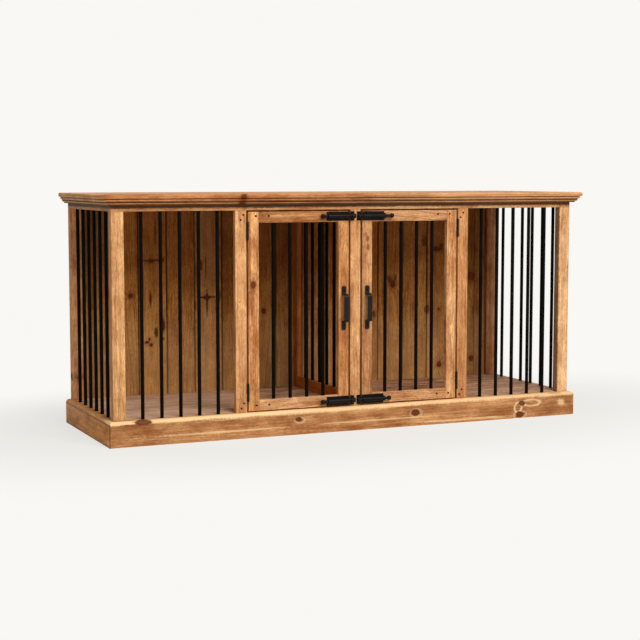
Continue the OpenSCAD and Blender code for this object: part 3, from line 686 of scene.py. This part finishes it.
def screw_tree(material):
    """Screws with a domed head and a cross recess, one at each point of the mesh it is given.
    The point's attribute "facing" turns a screw that looks up to where its head looks."""
    tree, nodes, sizes = geometry_tree("screws", [
        ("Head Diameter", "Float", 0.006), ("Head Height", "Float", 0.0018),
        ("Shank Diameter", "Float", 0.0032), ("Shank Length", "Float", 0.012),
        ("Recess", "Float", 0.0009)], takes_mesh=True)
    across, high, recess = sizes.of("Head Diameter"), sizes.of("Head Height"), sizes.of("Recess")

    def raised(geometry, height):
        return nodes.moved(geometry, nodes.join(0.0, 0.0, height))

    def round_bar(sides, radius, depth):
        return nodes.add("GeometryNodeMeshCylinder", {"fill_type": "NGON"},
                         {"Vertices": sides, "Radius": radius, "Depth": depth})

    def cut(operation, sockets, tools):
        made = nodes.add("GeometryNodeMeshBoolean", {"operation": operation, "solver": "EXACT"}, sockets)
        for tool in tools:
            nodes.tree.links.new(tool.socket, made.socket.node.inputs["Mesh 2"])
        return made

    dome = nodes.add("GeometryNodeMeshIcoSphere", None, {"Radius": across * DOME, "Subdivisions": 4})
    dome = raised(dome, high - across * DOME)
    barrel = raised(round_bar(HEAD_SIDES, across / 2.0, high), high / 2.0)
    head = cut("INTERSECT", None, (dome, barrel))
    slots = [raised(nodes.add("GeometryNodeMeshCube", None, {"Size": nodes.join(wide, tall, high)}), high)
             for wide, tall in ((across * CROSS, recess), (recess, across * CROSS))]
    head = cut("DIFFERENCE", {"Mesh 1": head}, slots)
    length = sizes.of("Shank Length")
    shank = raised(round_bar(SHANK_SIDES, sizes.of("Shank Diameter") / 2.0, length), 0.0 - length / 2.0)
    turn = nodes.add("GeometryNodeInputNamedAttribute", {"data_type": "FLOAT_VECTOR"}, {"Name": "facing"})
    screws = nodes.at_points(sizes.of("Points"), nodes.joined(shank, head), turn)
    close_tree(nodes, screws, material)
    return tree


# What a user may change


def colour_setting(name, text, default):
    return bpy.props.FloatVectorProperty(
        name=name, description=text, subtype="COLOR", size=3, min=0, max=1, default=default)


def length_setting(name, text, default, low=0.0, high=10.0):
    return bpy.props.FloatProperty(
        name=name, description=text, unit="LENGTH", precision=5, default=default, min=low, max=high)


def angle_setting(name, text, degrees):
    return bpy.props.FloatProperty(
        name=name, description=text, subtype="ANGLE", default=math.radians(degrees))


def share_setting(name, text, default, low=0.0, high=1.0):
    return bpy.props.FloatProperty(name=name, description=text, default=default, min=low, max=high)


class CrateFinish(bpy.types.PropertyGroup):
    pine_light: colour_setting("Pine", "Light wood of the outside timbers", srgb(238, 184, 126))
    pine_dark: colour_setting(
        "Pine, stained", "Wood where the stain took on the outside timbers", srgb(166, 106, 60))
    inner_light: colour_setting("Inside pine", "Light wood of the inside", srgb(226, 162, 88))
    inner_dark: colour_setting("Inside pine, stained", "Stained wood of the inside", srgb(166, 104, 46))
    floor_light: colour_setting("Floor", "Light wood of the floor boards", srgb(222, 178, 140))
    floor_dark: colour_setting("Floor, stained", "Stained wood of the floor boards", srgb(138, 94, 68))
    pine_grain: colour_setting("Ring lines", "Dark late wood of the rings", srgb(118, 64, 28))
    pine_pale: colour_setting("Pale ring", "Light wood round a knot", srgb(255, 222, 168))
    knot_heart: colour_setting("Knot", "Middle of a knot", srgb(122, 54, 14))
    knot_rim: colour_setting("Knot rim", "Bark ring round a knot", srgb(34, 14, 6))
    steel_dark: colour_setting("Black coat", "Coat of the bars and fittings", srgb(8, 6, 5))
    steel_light: colour_setting("Black coat, worn", "Coat where it is thinner", srgb(17, 13, 10))
    ring_pitch: length_setting("Ring pitch", "Distance between growth rings", 0.0058, 0.001, 0.03)
    ring_strength: share_setting("Ring strength", "How dark the ring lines are", 0.5, 0, 2)
    figure_contrast: share_setting("Figure", "Contrast of the bands along the grain", 1.3, 0, 5)
    knot_share: share_setting("Knots", "Share of the grain cells that hold a pin knot", 0.16)
    wood_roughness: share_setting("Wood roughness", "Sheen of the stained wood", 0.55)
    rod_roughness: share_setting("Bar roughness", "Sheen of the bars' coat", 0.42)
    fitting_roughness: share_setting("Fitting roughness", "Sheen of the fittings' coat", 0.36)


class CrateSizes(bpy.types.PropertyGroup):
    eased_edge: length_setting("Sanded edge", "Radius sanded on the timbers' long edges", 0.0014)
    fitting_edge: length_setting("Fitting edge", "Break on the fittings' edges", 0.0004)
    board_gap: length_setting("Board gap", "Space between neighbouring boards", 0.0004)
    face_groove: length_setting("Back board groove", "Cut on a back board's face edge", 0.003)
    board_ease: length_setting("Board edge", "Cut on a floor or top board's face edge", 0.001)
    tongue: length_setting("Tongue", "Width and thickness of a board's tongue", 0.005)
    head_height: length_setting("Screw head", "Height of a screw's head", 0.0018)
    shank_diameter: length_setting("Screw shank", "Diameter of a screw's shank", 0.0032)
    recess: length_setting("Screw recess", "Width of the cross recess", 0.0009)


class CrateStage(bpy.types.PropertyGroup):
    lens: bpy.props.FloatProperty(
        name="Lens", description="Focal length of the camera", unit="CAMERA", default=83.83, min=10)
    camera_place: bpy.props.FloatVectorProperty(
        name="Camera", description="Where the camera stands", subtype="TRANSLATION", unit="LENGTH",
        default=(-2.2885, -5.1713, 0.9246))
    camera_turn: angle_setting("Camera turn", "Direction of view, to the right of +Y", 23.68)
    camera_tilt: angle_setting("Camera tilt", "How far the camera looks down", 5.51)
    key_power: bpy.props.FloatProperty(
        name="Key lamp", description="Power of the lamp at the front right", default=275.0, min=0)
    key_size: length_setting("Key size", "Width of the key lamp", 3.4)
    around: share_setting("Light all round", "Strength of the plain light from all sides", 0.28, 0, 2)
    backdrop: colour_setting("Backdrop", "Colour behind the crate", srgb(249, 248, 244))


def settings():
    scene = bpy.context.scene
    return scene.crate_finish, scene.crate_sizes, scene.crate_stage


# The timbers' colours and marks

# Red, green and blue of each timber against the rest: partly its own tone, and partly painted light and
# shade. The left plinth and crown pieces are lightened as painted light on their end faces, and the back
# right post is darkened as painted shade on its inside faces.
TINTS_AND_PAINTED_LIGHT = {
    "post_front_left": (1.05, 1.09, 1.10), "post_front_right": (1.13, 1.28, 1.47),
    "post_inner_left": (1.09, 1.10, 1.11), "post_inner_right": (0.91, 0.81, 0.73),
    "post_back_left": (1.17, 1.12, 1.14), "post_back_right": (0.66, 0.58, 0.56),
    "mullion": (1.09, 1.11, 1.12), "back_boards": (0.88, 0.86, 0.76),
    "left_door_hinge_stile": (1.17, 1.13, 1.06), "left_door_latch_stile": (0.99, 0.89, 0.75),
    "right_door_latch_stile": (0.80, 0.73, 0.70), "right_door_hinge_stile": (1.19, 1.22, 1.29),
    "left_door_top_rail": (0.79, 0.72, 0.66), "right_door_top_rail": (0.77, 0.74, 0.76),
    "left_door_bottom_rail": (0.99, 1.03, 1.15), "right_door_bottom_rail": (0.97, 0.95, 1.02),
    "plinth_front": (0.88, 0.84, 0.81), "plinth_left": (1.38, 1.28, 0.99),
    "plinth_right": (0.86, 0.82, 0.80), "crown_front": (0.91, 0.76, 0.70),
    "crown_left": (1.33, 1.38, 1.42), "crown_right": (0.90, 0.80, 0.76),
    "divider_front_stile": (0.75, 0.58, 0.42), "divider_back_stile": (0.62, 0.50, 0.50),
    "divider_bottom_rail": (0.8, 0.62, 0.45), "divider_top_rail": (0.8, 0.62, 0.45),
}
UNTINTED = (1.0, 1.0, 1.0)
UMBER, BARK, CREAM = srgb(120, 62, 28), srgb(52, 24, 10), srgb(255, 216, 160)
# The colour of the painted light on the floor
PAINTED_FLOOR_LIGHT = srgb(250, 216, 186)
BACK_BOARD_EDGE = (0.0508, 0.0548)  # where its stained edge begins and ends, from its middle line


def facing(*rows):
    """Marks that are seen from the front: each row is x, z, their radii, and what else a mark holds.
    A mark goes right through the crate in the directions in which its radius is 0."""
    return tuple(((x, 0, z), (wide, 0, high), *rest) for x, z, wide, high, *rest in rows)


# Knots, streaks and pale loops, as pine takes them; the streak tables hold painted light and shade beside
# the marks in the wood
PLINTH_KNOTS = facing(
    (-0.233, 0.056, 0.013, 0.008), (0.237, 0.050, 0.018, 0.012), (0.699, 0.056, 0.014, 0.0095),
    (0.690, 0.014, 0.018, 0.0115), (-0.811, 0.083, 0.032, 0.008),
)
PLINTH_LOOPS = facing(
    (0.240, 0.048, 0.024, 0.016, 0.30), (0.681, 0.041, 0.016, 0.018, 0.65),
    (0.740, 0.056, 0.040, 0.013, 0.60), (0.690, 0.012, 0.026, 0.016, 0.30),
    (-0.228, 0.052, 0.019, 0.011, 0.35),
)
# Pale and dark marks in the grain, and painted light and shade: a painted highlight along the rounded top
# edge, over the top and on the round from the front, and painted shade on the top beside the feet of the
# front posts.
PLINTH_STREAKS_AND_PAINTED_LIGHT = (
    ((0, -0.293, 0.0885), (0, 0.12, 0.015), CREAM, 0.7),
    ((-0.75, -0.293, 0.0885), (0.7, 0.12, 0.015), CREAM, 0.6),
    *facing(
        (-0.20, 0.080, 0.5, 0.011, CREAM, 0.4), (-0.55, 0.030, 0.34, 0.005, CREAM, 0.6),
        (0.05, 0.033, 0.30, 0.004, CREAM, 0.5), (0.45, 0.012, 0.24, 0.005, CREAM, 0.5),
        (-0.80, 0.055, 0.03, 0.014, UMBER, 0.3), (0.35, 0.055, 0.16, 0.016, UMBER, 0.22),
        (0.874, 0.051, 0.022, 0.014, CREAM, 0.6), (0.83, 0.03, 0.05, 0.03, UMBER, 0.2),
        (-0.931, 0.077, 0.004, 0.0035, BARK, 0.6), (-0.931, 0.0, 0.004, 0.004, BARK, 0.7)),
    ((-0.931, -0.2925, 0), (0.004, 0.004, 0), BARK, 0.6),
    ((-0.88, -0.2735, 0.089), (0.06, 0.008, 0.012), UMBER, 0.6),
    *facing((0.905, 0.057, 0.026, 0.020, UMBER, 0.5)),
    ((0.85, -0.300, 0.090), (0.05, 0.03, 0.010), UMBER, 0.5),
)
CARCASS_KNOTS = (((-0.912, 0.290, 0.176), (0.5, 0.012, 0.012)),)
# Marks in the wood, and painted shade: a dark band along the top rails under the crown for the shadow it
# casts, and a dark streak down the inside face of the front right post.
CARCASS_STREAKS_AND_PAINTED_SHADE = (
    *facing((-0.431, 0.815, 0.012, 0.012, UMBER, 0.5), (0, 0.821, 0, 0.0086, BARK, 0.8),
            (-0.448, 0.484, 0.004, 0.006, UMBER, 0.5)),
    ((0.867, -0.2415, 0), (0.006, 0.045, 0), BARK, 0.6),
)
CROWN_KNOTS = facing((-0.444, 0.853, 0.010, 0.008), (-0.444, 0.829, 0.011, 0.008))
# Besides a knot's stain, the bands that run along the profile are painted light and shade: dark bands in
# the fillet, the hollow and the cove as painted shade, and a pale line on the lower bead as a painted
# highlight.
CROWN_STREAKS_AND_PAINTED_LIGHT = facing(
    (0.65, 0.85, 0.8, 0, CREAM, 0.2), (-0.442, 0.845, 0.014, 0.05, UMBER, 0.75),
    (0, 0.8470, 0, 0.0022, BARK, 0.5), (0, 0.8360, 0, 0.0034, BARK, 0.85),
    (0, 0.8265, 0, 0.0042, BARK, 0.8), (0, 0.8560, 0, 0.0018, UMBER, 0.35),
    (0, 0.8316, 0, 0.0018, CREAM, 0.1),
)
BACK_KNOTS = facing(
    (-0.641, 0.610, 0.007, 0.007), (-0.599, 0.603, 0.009, 0.007), (-0.556, 0.606, 0.010, 0.008),
    (-0.680, 0.472, 0.009, 0.009), (-0.601, 0.459, 0.004, 0.014), (-0.373, 0.456, 0.012, 0.010),
    (-0.553, 0.352, 0.009, 0.020), (-0.601, 0.280, 0.006, 0.006), (-0.617, 0.291, 0.008, 0.005),
    (-0.607, 0.303, 0.004, 0.006), (-0.136, 0.394, 0.009, 0.010), (0.431, 0.486, 0.011, 0.016),
    (0.633, 0.625, 0.016, 0.010), (0.655, 0.634, 0.008, 0.014), (0.645, 0.374, 0.005, 0.007),
    (0.649, 0.143, 0.012, 0.012), (0.798, 0.507, 0.017, 0.019), (0.802, 0.161, 0.011, 0.012),
)
# The first eight marks are painted light and shade on the back wall: lighter towards the bottom, darker
# towards the top, and darker at the right end, at the far left, behind the left door and low down, with
# one patch lighter. The rest darken the wood round its knots.
BACK_STREAKS_AND_PAINTED_LIGHT = facing(
    (0, 0.05, 0, 0.42, CREAM, 0.16), (0, 0.86, 0, 0.40, UMBER, 0.36), (0.82, 0.5, 0.24, 0, BARK, 0.42),
    (-0.17, 0.6, 0.24, 0, BARK, 0.22), (-0.87, 0.5, 0.16, 0, BARK, 0.25),
    (-0.38, 0.4, 0.05, 0, CREAM, 0.12), (-0.70, 0.13, 0.07, 0.22, BARK, 0.28),
    (-0.14, 0.13, 0.06, 0.22, BARK, 0.25), (-0.553, 0.356, 0.010, 0.036, BARK, 0.9),
    (-0.552, 0.303, 0.008, 0.009, BARK, 0.7), (-0.373, 0.440, 0.005, 0.070, BARK, 0.9),
    (-0.372, 0.457, 0.052, 0.006, BARK, 0.9), (-0.377, 0.572, 0.004, 0.075, BARK, 0.7),
    (-0.580, 0.713, 0.005, 0.060, BARK, 0.6), (-0.598, 0.604, 0.055, 0.007, BARK, 0.65),
    (-0.601, 0.459, 0.006, 0.040, BARK, 0.6), (-0.580, 0.328, 0.010, 0.026, BARK, 0.85),
    (-0.422, 0.428, 0.008, 0.025, BARK, 0.6), (-0.320, 0.460, 0.010, 0.030, BARK, 0.65),
    (0.416, 0.505, 0.012, 0.020, BARK, 0.65), (0.444, 0.510, 0.008, 0.018, BARK, 0.65),
    (0.347, 0.364, 0.012, 0.022, BARK, 0.7), (0.577, 0.66, 0.018, 0.035, BARK, 0.65),
    (0.590, 0.375, 0.016, 0.022, BARK, 0.7),
)
DOOR_KNOTS = facing((-0.398, 0.543, 0.010, 0.013), (-0.007, 0.558, 0.004, 0.005))
DOOR_STREAKS = facing(
    (0.050, 0.668, 0.009, 0.016, UMBER, 0.75), (-0.401, 0.53, 0.013, 0.05, UMBER, 0.35),
    (0.048, 0.700, 0.009, 0.014, UMBER, 0.75), (0.041, 0.716, 0.008, 0.008, UMBER, 0.6),
    (0.042, 0.640, 0.007, 0.010, UMBER, 0.5),
)
# Painted light: the floor of the left bay is lightened, far from the key lamp.
FLOOR_PAINTED_LIGHT = facing((-0.62, 0, 0.45, 0, PAINTED_FLOOR_LIGHT, 0.35))


# The crate's materials

# Each coat: the size of its pebble in metres, the setting that gives its roughness, and its gloss
COATS = {
    "steel_bars": (0.0007, "rod_roughness", 0.035),
    "steel_fittings": (0.0005, "fitting_roughness", 0.22),
    "steel_bolts": (0.0025, "fitting_roughness", 0.13),
    "steel_screws": (0.0005, "rod_roughness", 0.03),
}


def wood(name, tone="pine", **own):
    """The pine of that name, made when it is first asked for. tone picks its two colours."""
    finish, _, _ = settings()
    return bpy.data.materials.get(name) or pine(
        name, finish, getattr(finish, tone + "_light"), getattr(finish, tone + "_dark"), **own)


def inner_wood():
    return wood("pine_inner", "inner", lines=0.4, gloss=0.06)


def coat(name):
    """The black coat of that name, made when it is first asked for."""
    finish, _, _ = settings()
    pebble_size, roughness, gloss = COATS[name]
    return bpy.data.materials.get(name) or black_steel(
        name, finish, pebble_size, getattr(finish, roughness), gloss)


# Rows of boards, bars and screws

SAME_WIDTH = 2e-5  # boards whose widths differ by less than this stand in one row
FACE_UP = Matrix(((0, 0, -1), (1, 0, 0), (0, -1, 0))).to_euler()  # lays a row of boards on its back
SAME_DIGITS = 5  # screws whose sizes in metres agree to this many digits are of one kind
SCREW_TURN = 0.9  # how much further each screw is turned than the one before it, in radians


def equal_runs(widths):
    """Neighbouring boards of one width, as [first board, width, count]."""
    runs = []
    for i, width in enumerate(widths):
        if runs and abs(runs[-1][1] - width) < SAME_WIDTH:
            runs[-1][2] += 1
        else:
            runs.append([i, width, 1])
    return runs


def board_rows(node, material, face_cut, tongue=0.0, upright=False):
    """One node's boards, each run of equal ones as a row. Upright boards stand side by side along X,
    and boards that lie down are side by side along Y."""
    _, sizes, _ = settings()
    tree = bpy.data.node_groups.get("board_row") or board_tree(material)
    side, deep, long = (0, 1, 2) if upright else (1, 2, 0)
    parts = sorted(cad_parts(node), key=lambda part: part[0][side])
    lows = [lo[side] for lo, _ in parts]
    widths = [b - a - sizes.board_gap for a, b in zip(lows, lows[1:])]
    widths.append(parts[-1][1][side] - lows[-1])
    whole = bmesh.new()
    for start, width, count in equal_runs(widths):
        lo, hi = parts[start]
        centre = (lo + hi) / 2
        centre[side] = lo[side] + width / 2
        alone = count == 1 and start + count == len(parts)
        add_mesh(whole, grown(tree, {
            "Count": count, "Pitch": width + sizes.board_gap, "Width": width,
            "Thickness": (hi - lo)[deep], "Length": (hi - lo)[long],
            "Face Cut": face_cut, "Back Cut": sizes.board_gap, "Tongue": 0.0 if alone else tongue,
            "Place": tuple(centre), "Turn": FLAT if upright else tuple(FACE_UP)}))
    shade_by_angle(whole, 0)
    place_piece("pine", node, whole, material)


def rod_row(node):
    """One node's bars as a row of rods."""
    material = coat("steel_bars")
    tree = bpy.data.node_groups.get("rod_row") or rod_tree(material)
    parts = sorted(cad_parts(node), key=lambda part: (part[0].x, part[0].y))
    middles = [(lo + hi) / 2 for lo, hi in parts]
    lo, hi = parts[0]
    step = (middles[-1] - middles[0]) / (len(parts) - 1)
    bm = grown(tree, {
        "Count": len(parts), "First": (middles[0].x, middles[0].y, lo.z), "Step": tuple(step),
        "Radius": (hi.x - lo.x) / 2, "Length": hi.z - lo.z})
    shade_by_angle(bm, ROD_SMOOTH)
    place_piece("steel", node, bm, material)


def screw_seat(node, lo, hi):
    """Where the top of a screw's head is, and where it looks."""
    middle, size = (lo + hi) / 2, hi - lo
    if size.x > size.y:  # a hinge screw: its head looks into the gap beside the door
        out = -1 if (lo.x > 0) == (body_of(node) == "frame") else 1
        return Vector((lo.x if out < 0 else hi.x, middle.y, middle.z)), RIGHT * out
    return Vector((middle.x, lo.y, middle.z)), FRONT


def screw_piece(node):
    """One node's screws, each kind of them grown on points under the heads."""
    _, sizes, _ = settings()
    material = coat("steel_screws")
    tree = bpy.data.node_groups.get("screws") or screw_tree(material)
    kinds = {}
    for number, (lo, hi) in enumerate(cad_parts(node)):
        seat, outward = screw_seat(node, lo, hi)
        spin = Matrix.Rotation(number * SCREW_TURN, 3, "Z")
        facing = (outward.to_track_quat("Z", "Y").to_matrix() @ spin).to_euler()
        kind = round(min(hi - lo), SAME_DIGITS), round(max(hi - lo), SAME_DIGITS)
        kinds.setdefault(kind, []).append((seat - outward * sizes.head_height, facing))
    whole = bmesh.new()
    for (across, length), screws in kinds.items():
        points = bpy.data.meshes.new(node)
        points.from_pydata([seat for seat, _ in screws], [], [])
        write_points(points, "facing", [angle for _, facing in screws for angle in facing])
        add_mesh(whole, grown(tree, {
            "Head Diameter": across, "Head Height": sizes.head_height,
            "Shank Diameter": sizes.shank_diameter, "Shank Length": length - sizes.head_height,
            "Recess": sizes.recess}, points))
    shade_by_angle(whole, SCREW_SMOOTH)
    place_piece("steel", node, whole, material)


# Operators

PLINTH_FINER, CROWN_FINER = 3, 4  # how much finer than the timbers' edges theirs are sanded
HANDLE_ROUNDER = 2  # how much rounder than the other fittings' edges a handle's are


class CRATE_OT_carcass(bpy.types.Operator):
    """Make the base, the posts, the rails and the bearers"""
    bl_idname = "crate.carcass"
    bl_label = "Carcass"

    def execute(self, context):
        _, sizes, _ = settings()
        outside = wood("pine_carcass", knots=CARCASS_KNOTS, streaks=CARCASS_STREAKS_AND_PAINTED_SHADE,
                       sinks=sunk_screws("frame_screws"))
        for node in ("base_rail_front", "base_rail_back", "base_side_rails", "post_front_left",
                     "post_front_right", "post_back_left", "post_back_right", "post_inner_left",
                     "post_inner_right", "mullion", "top_rail_front", "top_rail_back", "top_side_rails"):
            timber_piece(node, outside, sizes.eased_edge)
        for node in ("floor_joists", "top_bearers"):
            timber_piece(node, inner_wood(), sizes.eased_edge)
        return {"FINISHED"}


class CRATE_OT_mouldings(bpy.types.Operator):
    """Make the plinth and the crown moulding"""
    bl_idname = "crate.mouldings"
    bl_label = "Plinth and crown"

    def execute(self, context):
        _, sizes, _ = settings()
        plinth = wood("pine_plinth", knots=PLINTH_KNOTS, streaks=PLINTH_STREAKS_AND_PAINTED_LIGHT, loops=PLINTH_LOOPS)
        crown = wood("pine_crown", knots=CROWN_KNOTS, streaks=CROWN_STREAKS_AND_PAINTED_LIGHT, gloss=0.08)
        for side in ("front", "left", "right"):
            for name, material, finer in (("plinth", plinth, PLINTH_FINER), ("crown", crown, CROWN_FINER)):
                timber_piece(f"{name}_{side}", material, sizes.eased_edge / finer,
                             MOULDING_SMOOTH)
        return {"FINISHED"}


class CRATE_OT_boards(bpy.types.Operator):
    """Lay the back, floor and top boards"""
    bl_idname = "crate.boards"
    bl_label = "Boards"

    def execute(self, context):
        _, sizes, _ = settings()
        back = wood("pine_back_boards", "inner", knots=BACK_KNOTS, streaks=BACK_STREAKS_AND_PAINTED_LIGHT,
                    edge=BACK_BOARD_EDGE, lines=1.9, mottle=1.25, gloss=0.06)
        floor = wood("pine_floor_boards", "floor", streaks=FLOOR_PAINTED_LIGHT,
                     lines=1.6, mottle=1.5, gloss=0.08)
        board_rows("back_boards", back, sizes.face_groove, sizes.tongue, upright=True)
        board_rows("floor_boards", floor, sizes.board_ease)
        board_rows("top_boards", wood("pine_top_boards"), sizes.board_ease)
        return {"FINISHED"}


class CRATE_OT_bars(bpy.types.Operator):
    """Stand the rows of steel bars in the bays, the ends and the divider"""
    bl_idname = "crate.bars"
    bl_label = "Bars"

    def execute(self, context):
        for node in ("bars_front_left", "bars_front_right", "bars_left_end", "bars_right_end",
                     "divider_bars"):
            rod_row(node)
        return {"FINISHED"}


class CRATE_OT_divider(bpy.types.Operator):
    """Make the divider panel between the two compartments"""
    bl_idname = "crate.divider"
    bl_label = "Divider"

    def execute(self, context):
        _, sizes, _ = settings()
        for part in ("front_stile", "back_stile", "bottom_rail", "top_rail"):
            timber_piece("divider_" + part, inner_wood(), sizes.eased_edge)
        return {"FINISHED"}


class CRATE_OT_doors(bpy.types.Operator):
    """Make both doors' stiles, rails and bars"""
    bl_idname = "crate.doors"
    bl_label = "Doors"

    def execute(self, context):
        _, sizes, _ = settings()
        sinks = sunk_screws("left_door_screws", "right_door_screws")
        doors = wood("pine_doors", knots=DOOR_KNOTS, streaks=DOOR_STREAKS, sinks=sinks,
                     lines=1.8, mottle=1.2)
        for side in ("left", "right"):
            for part in ("hinge_stile", "latch_stile", "top_rail", "bottom_rail"):
                timber_piece(f"{side}_door_{part}", doors, sizes.eased_edge)
            rod_row(side + "_door_bars")
        return {"FINISHED"}


class CRATE_OT_fittings(bpy.types.Operator):
    """Make the hinges, the slide bolts and the handles"""
    bl_idname = "crate.fittings"
    bl_label = "Hinges, bolts and handles"

    def execute(self, context):
        _, sizes, _ = settings()
        edge, smooth, rough = sizes.fitting_edge, coat("steel_fittings"), coat("steel_bolts")
        steel_piece("hinge_frame_leaves", smooth, edge)
        steel_piece("hinge_pins", smooth, edge)
        steel_piece("bolt_keepers", rough, edge)
        for side in ("left", "right"):
            steel_piece(side + "_hinge_door_leaves", smooth, edge)
            steel_piece(side + "_door_handle", smooth, edge * HANDLE_ROUNDER)
            steel_piece(side + "_door_bolts", rough, edge)
            for end in ("top", "bottom"):
                steel_piece(f"{side}_{end}_bolt_rod", rough, edge)
        return {"FINISHED"}


class CRATE_OT_screws(bpy.types.Operator):
    """Drive the screws in the posts, the doors and the fittings"""
    bl_idname = "crate.screws"
    bl_label = "Screws"

    def execute(self, context):
        for node in ("frame_screws", "left_door_screws", "right_door_screws"):
            screw_piece(node)
        return {"FINISHED"}


# The stage

SENSOR_WIDTH = 36.0  # in millimetres
KEY_PLACE, KEY_AIM = Vector((0.4, -4.1, 3.9)), Vector((0.05, -0.1, 0.45))
KEY_COLOUR, WARM_LIGHT = (1.0, 1.0, 1.0), (1.0, 0.87, 0.74)
FLOOR_REACH, FLOOR_CELLS = 12, 8  # half the floor's width in metres, and its cells along a side
# The floor takes shadow near the crate and fades into the backdrop further out, measured with
# X shortened to follow the crate's long shape
FADE_SHAPE = (0.55, 1.0, 0.0)
FADE_NEAR, FADE_FAR, LEAST_PAPER = 0.5, 1.3, 0.72
GROUND_SHADE = 0.75  # the ground's colour against the backdrop's


def stand_camera(stage):
    camera = bpy.data.cameras.new("camera")
    camera.lens, camera.sensor_width = stage.lens, SENSOR_WIDTH
    eye = new_object("camera", camera)
    eye.location = stage.camera_place
    eye.rotation_euler = (math.pi / 2 - stage.camera_tilt, 0, -stage.camera_turn)
    bpy.context.scene.camera = eye


def hang_key_lamp(stage):
    lamp = bpy.data.lights.new("key", "AREA")
    lamp.energy, lamp.size, lamp.color = stage.key_power, stage.key_size, KEY_COLOUR
    key = new_object("key", lamp)
    key.location = KEY_PLACE
    key.rotation_euler = (KEY_AIM - KEY_PLACE).to_track_quat("-Z", "Y").to_euler()


def seen_ray(nodes):
    """1 on rays that the camera, a gloss or a glass sends out."""
    ray = nodes.add("ShaderNodeLightPath", None, None, "Is Camera Ray")
    return (ray + ray.of("Is Glossy Ray") + ray.of("Is Transmission Ray")).clamped()


def light_all_round(stage):
    """A plain warm light from all sides. What looks straight at it sees the backdrop."""
    world = bpy.data.worlds.new("studio")
    bpy.context.scene.world = world
    world.use_nodes = True
    nodes = Nodes(world.node_tree)
    plain = nodes.add("ShaderNodeBackground", None, {"Color": (*WARM_LIGHT, 1), "Strength": stage.around})
    paper = nodes.add("ShaderNodeBackground", None, {"Color": (*stage.backdrop, 1), "Strength": 1.0})
    both = nodes.add("ShaderNodeMixShader", None, {0: seen_ray(nodes), 1: plain, 2: paper})
    nodes.add("ShaderNodeOutputWorld", None, {"Surface": both})


def lay_floor(stage):
    """A paper floor with the crate's soft shadow on it."""
    material, nodes = new_material("paper_floor")
    out = nodes.vector("LENGTH", nodes.vector("MULTIPLY", nodes.place(), FADE_SHAPE), output="Value")
    fade = out.step(FADE_NEAR, FADE_FAR, LEAST_PAPER, 1.0)
    shade = (*(GROUND_SHADE * c for c in stage.backdrop), 1)
    paper = nodes.add("ShaderNodeEmission", None, {"Color": (*stage.backdrop, 1), "Strength": 1.0})
    ground = nodes.add("ShaderNodeBsdfDiffuse", None, {"Color": shade})
    share = (fade * seen_ray(nodes)).clamped()
    both = nodes.add("ShaderNodeMixShader", None, {0: share, 1: ground, 2: paper})
    nodes.add("ShaderNodeOutputMaterial", None, {"Surface": both})
    bm = bmesh.new()
    bmesh.ops.create_grid(bm, x_segments=FLOOR_CELLS, y_segments=FLOOR_CELLS, size=FLOOR_REACH)
    mesh = to_mesh("floor", bm)
    mesh.materials.append(material)
    floor = new_object("floor", mesh)


class CRATE_OT_stage(bpy.types.Operator):
    """Set the camera, the lamps, the floor and the backdrop"""
    bl_idname = "crate.stage"
    bl_label = "Stage"

    def execute(self, context):
        _, _, stage = settings()
        context.scene.view_settings.view_transform = "Standard"
        stand_camera(stage)
        hang_key_lamp(stage)
        light_all_round(stage)
        lay_floor(stage)
        return {"FINISHED"}


class CRATE_PT_panel(bpy.types.Panel):
    """The crate's steps and what can be changed"""
    bl_idname = "CRATE_PT_panel"
    bl_label = "Pet Crate"
    bl_space_type = "VIEW_3D"
    bl_region_type = "UI"
    bl_category = "Pet Crate"

    def draw(self, context):
        for group in settings():
            box = self.layout.box()
            for name in group.__annotations__:
                box.prop(group, name)
        for step in STEPS:
            self.layout.operator(step.bl_idname)


STEPS = (CRATE_OT_carcass, CRATE_OT_mouldings, CRATE_OT_boards, CRATE_OT_bars, CRATE_OT_divider,
         CRATE_OT_doors, CRATE_OT_fittings, CRATE_OT_screws, CRATE_OT_stage)
GROUPS = {"crate_finish": CrateFinish, "crate_sizes": CrateSizes, "crate_stage": CrateStage}
CLASSES = (*GROUPS.values(), *STEPS, CRATE_PT_panel)


def register():
    for cls in CLASSES:
        bpy.utils.register_class(cls)
    for name, group in GROUPS.items():
        setattr(bpy.types.Scene, name, bpy.props.PointerProperty(type=group))


def unregister():
    for name in GROUPS:
        delattr(bpy.types.Scene, name)
    for cls in reversed(CLASSES):
        bpy.utils.unregister_class(cls)


def main():
    register()
    for step in STEPS:
        group, name = step.bl_idname.split(".")
        getattr(getattr(bpy.ops, group), name)()


if __name__ == "__main__":
    main()
